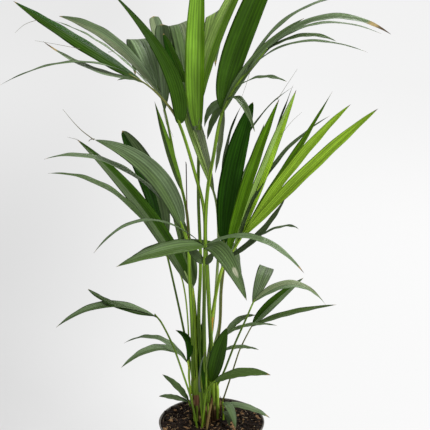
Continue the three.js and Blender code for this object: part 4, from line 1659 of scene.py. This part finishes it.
        (1.5, 1.5, 1),
        (
            Leaflet(0.9, (-77, -20, 238), (2, -2, 3), 12, 50, Tone.SLATE),
            Leaflet(0.7, (-82, -35, 208), (-2, 0, 3), 10, 66, Tone.SLATE),
        ),
    ),
    Frond(
        "sprout_right",
        "leaf_grey",
        None,
        (),
        ((19, 2, 144.3), (19, 0, 162), (18, -3, 183)),
        (1.8, 1.8, 1.2),
        (
            Leaflet(0.95, (38, -32, 151), (2, -2, 12), 14, 30, Tone.SAGE, Tone.FERN),
            Leaflet(0.9, (93, -12, 160), (2, 0, 6), 13, 66, Tone.SAGE, Tone.FERN, dry=0.08),
            Leaflet(0.6, (28, -24, 151), (2, -1, 5), 9, 30, Tone.SLATE),
        ),
    ),
)

# Dark leaves that darken the gaps between the stalks: painted shade.
SHADE_FILL_LEAVES = ShadeFillLeaves((
    ((-12, -17, 205), Leaflet(0, (-11.7, -22, 364), (-0.5, 0, 0), 8, 10, Tone.DARK, Tone.DEEP, fold=24)),
    ((-14, 0, 200), Leaflet(0, (-16, 14, 310), (-1, 0, 0), 14, 0, Tone.DARK, base=0.4, point=0.7)),
    ((-24, 8, 214), Leaflet(0, (-29, 12, 378), (2.5, 0, 0), 6, 10, Tone.DEEP, base=0.5)),
))

BARE_LIMBS = (
    BareLimb(
        "dried_stalk",
        "dead",
        Coat.BROWN,
        Foot("left"),
        ((-29, 14, 300), (-34, 24, 400), (-38, 32, 488), (-39, 34, 563)),
        (1.3, 0.8),
        3,
    ),
    BareLimb(
        "cut_stub",
        "dead",
        Coat.STRAW,
        Foot(soil=(-8, -22)),
        ((-4, -22, 170), (1, -21, 196)),
        (2, 1.4),
        5,
    ),
    BareLimb(
        "spear_leaf",
        "leaf_grey",
        Coat.ROLLED,
        Foot(at=(-18.5, -14, 206)),
        ((-19.5, -19, 222), (-18, -24, 247), (-14.4, -26, 265), (-9, -27, 278)),
        (2, 0.6),
    ),
)


# ---------------------------------------------------------------- studio


@dataclass(frozen=True)
class Lamp:
    """A soft square lamp that points at the plant."""

    name: str
    place: Point
    size: float
    power: float
    target: Point = (0, 0, 0.5)

    def build(self) -> None:
        """Makes the lamp."""
        data = bpy.data.lights.new(self.name, "AREA")
        data.shape = "SQUARE"
        data.size = self.size
        data.energy = self.power
        lamp = add_object(self.name, data)
        lamp.location = self.place
        aim = Vector(self.target) - Vector(self.place)
        lamp.rotation_euler = aim.to_track_quat("-Z", "Y").to_euler()


@dataclass(frozen=True)
class Studio:
    """A pale floor that curves up into a wall all round, soft lamps and the camera.

    The floor is flat out to level, and rises to wall at reach. It glows by emission though it is no
    lamp, which is painted light: glow is its brightness near the plant, lift how much brighter it is
    far away, and dim how much darker it is on the left, painted shade of light that falls from the right.
    """

    eye: Point = (0.0055, -1.240, 0.776)
    slope: float = 77
    lens: float = 70
    sensor: float = 36
    reach: float = 6
    level: float = 0.8
    wall: float = 1.6
    sides: int = 96
    steps: int = 16
    sky: float = 0.3
    glow: float = 0.66
    lift: float = 0.14
    dim: float = 0.2
    dim_fade: float = 0.6
    left: tuple[float, float] = (-0.8, 0.1)
    far: tuple[float, float] = (0.5, 4)
    lamps: tuple[Lamp, ...] = (
        Lamp("key", (1.6, -1.3, 2.4), 0.9, 84),
        Lamp("fill", (-2.2, -2.0, 1.3), 1.6, 14),
        Lamp("rim", (0.9, 1.5, 2.2), 1.0, 40),
    )

    def build(self) -> None:
        """Makes the stage, the lamps, the sky and the camera."""
        self.add_bowl()
        for lamp in self.lamps:
            lamp.build()
        world = bpy.data.worlds.new("soft_sky")
        world.use_nodes = True
        background = world.node_tree.nodes["Background"].inputs
        background["Color"].default_value = (1, 1, 1, 1)
        background["Strength"].default_value = self.sky
        scene = bpy.context.scene
        scene.world = world
        scene.view_settings.view_transform = "Standard"
        data = bpy.data.cameras.new("camera")
        data.lens = self.lens
        data.sensor_width = self.sensor
        camera = add_object("camera", data)
        camera.location = self.eye
        camera.rotation_euler = (math.radians(self.slope), 0, 0)
        scene.camera = camera

    def add_bowl(self) -> None:
        """Makes the floor and the wall round it as one wide bowl, a little dimmer on its left."""
        mesh = bmesh.new()
        shares = [i / self.steps for i in range(self.steps + 1)]
        rise = [Vector((mix(self.level, self.reach, s), 0, self.wall * s**2)) for s in shares]
        spin_round(mesh, [Vector((0, 0, 0)), *rise], self.sides)
        smooth_off(mesh)
        data = bpy.data.meshes.new("floor")
        mesh.to_mesh(data)
        mesh.free()
        paint = Paint("pale_floor")
        spot = paint.spot()
        x = paint.node("ShaderNodeSeparateXYZ", None, {"Vector": spot})
        away = paint.node("ShaderNodeVectorMath", {"operation": "LENGTH"}, {0: spot}, output="Value")
        left, far = 1 - x.rise(*self.left), away.rise(*self.far)
        paint.set(Base_Color=(0.2, 0.2, 0.2, 1), Roughness=1, Specular_IOR_Level=0)
        # Painted light: the floor glows by itself, brighter far off, and its left is darkened as painted
        # shade of light from the right.
        glow = self.glow + far * self.lift - left * (1 - far * self.dim_fade) * self.dim
        paint.set(Emission_Color=glow, Emission_Strength=1)
        data.materials.append(paint.material)
        floor = add_object("floor", data)


def main() -> None:
    """Builds the pot, the plant and the studio. Each piece draws from a source of its own."""
    logging.basicConfig(level=logging.INFO, format="%(message)s", stream=sys.stdout)
    Pot().build()
    Compost().build(random.Random(SEED))
    for index, (name, trunk) in enumerate(TRUNKS.items()):
        trunk.build(name, random.Random(SEED + index))
    for index, frond in enumerate(FRONDS):
        frond.build(random.Random(SEED * 100 + index))
    for index, limb in enumerate(BARE_LIMBS):
        limb.build(random.Random(SEED * 200 + index))
    SHADE_FILL_LEAVES.build(random.Random(SEED * 300))
    Studio().build()


if __name__ == "__main__":
    main()
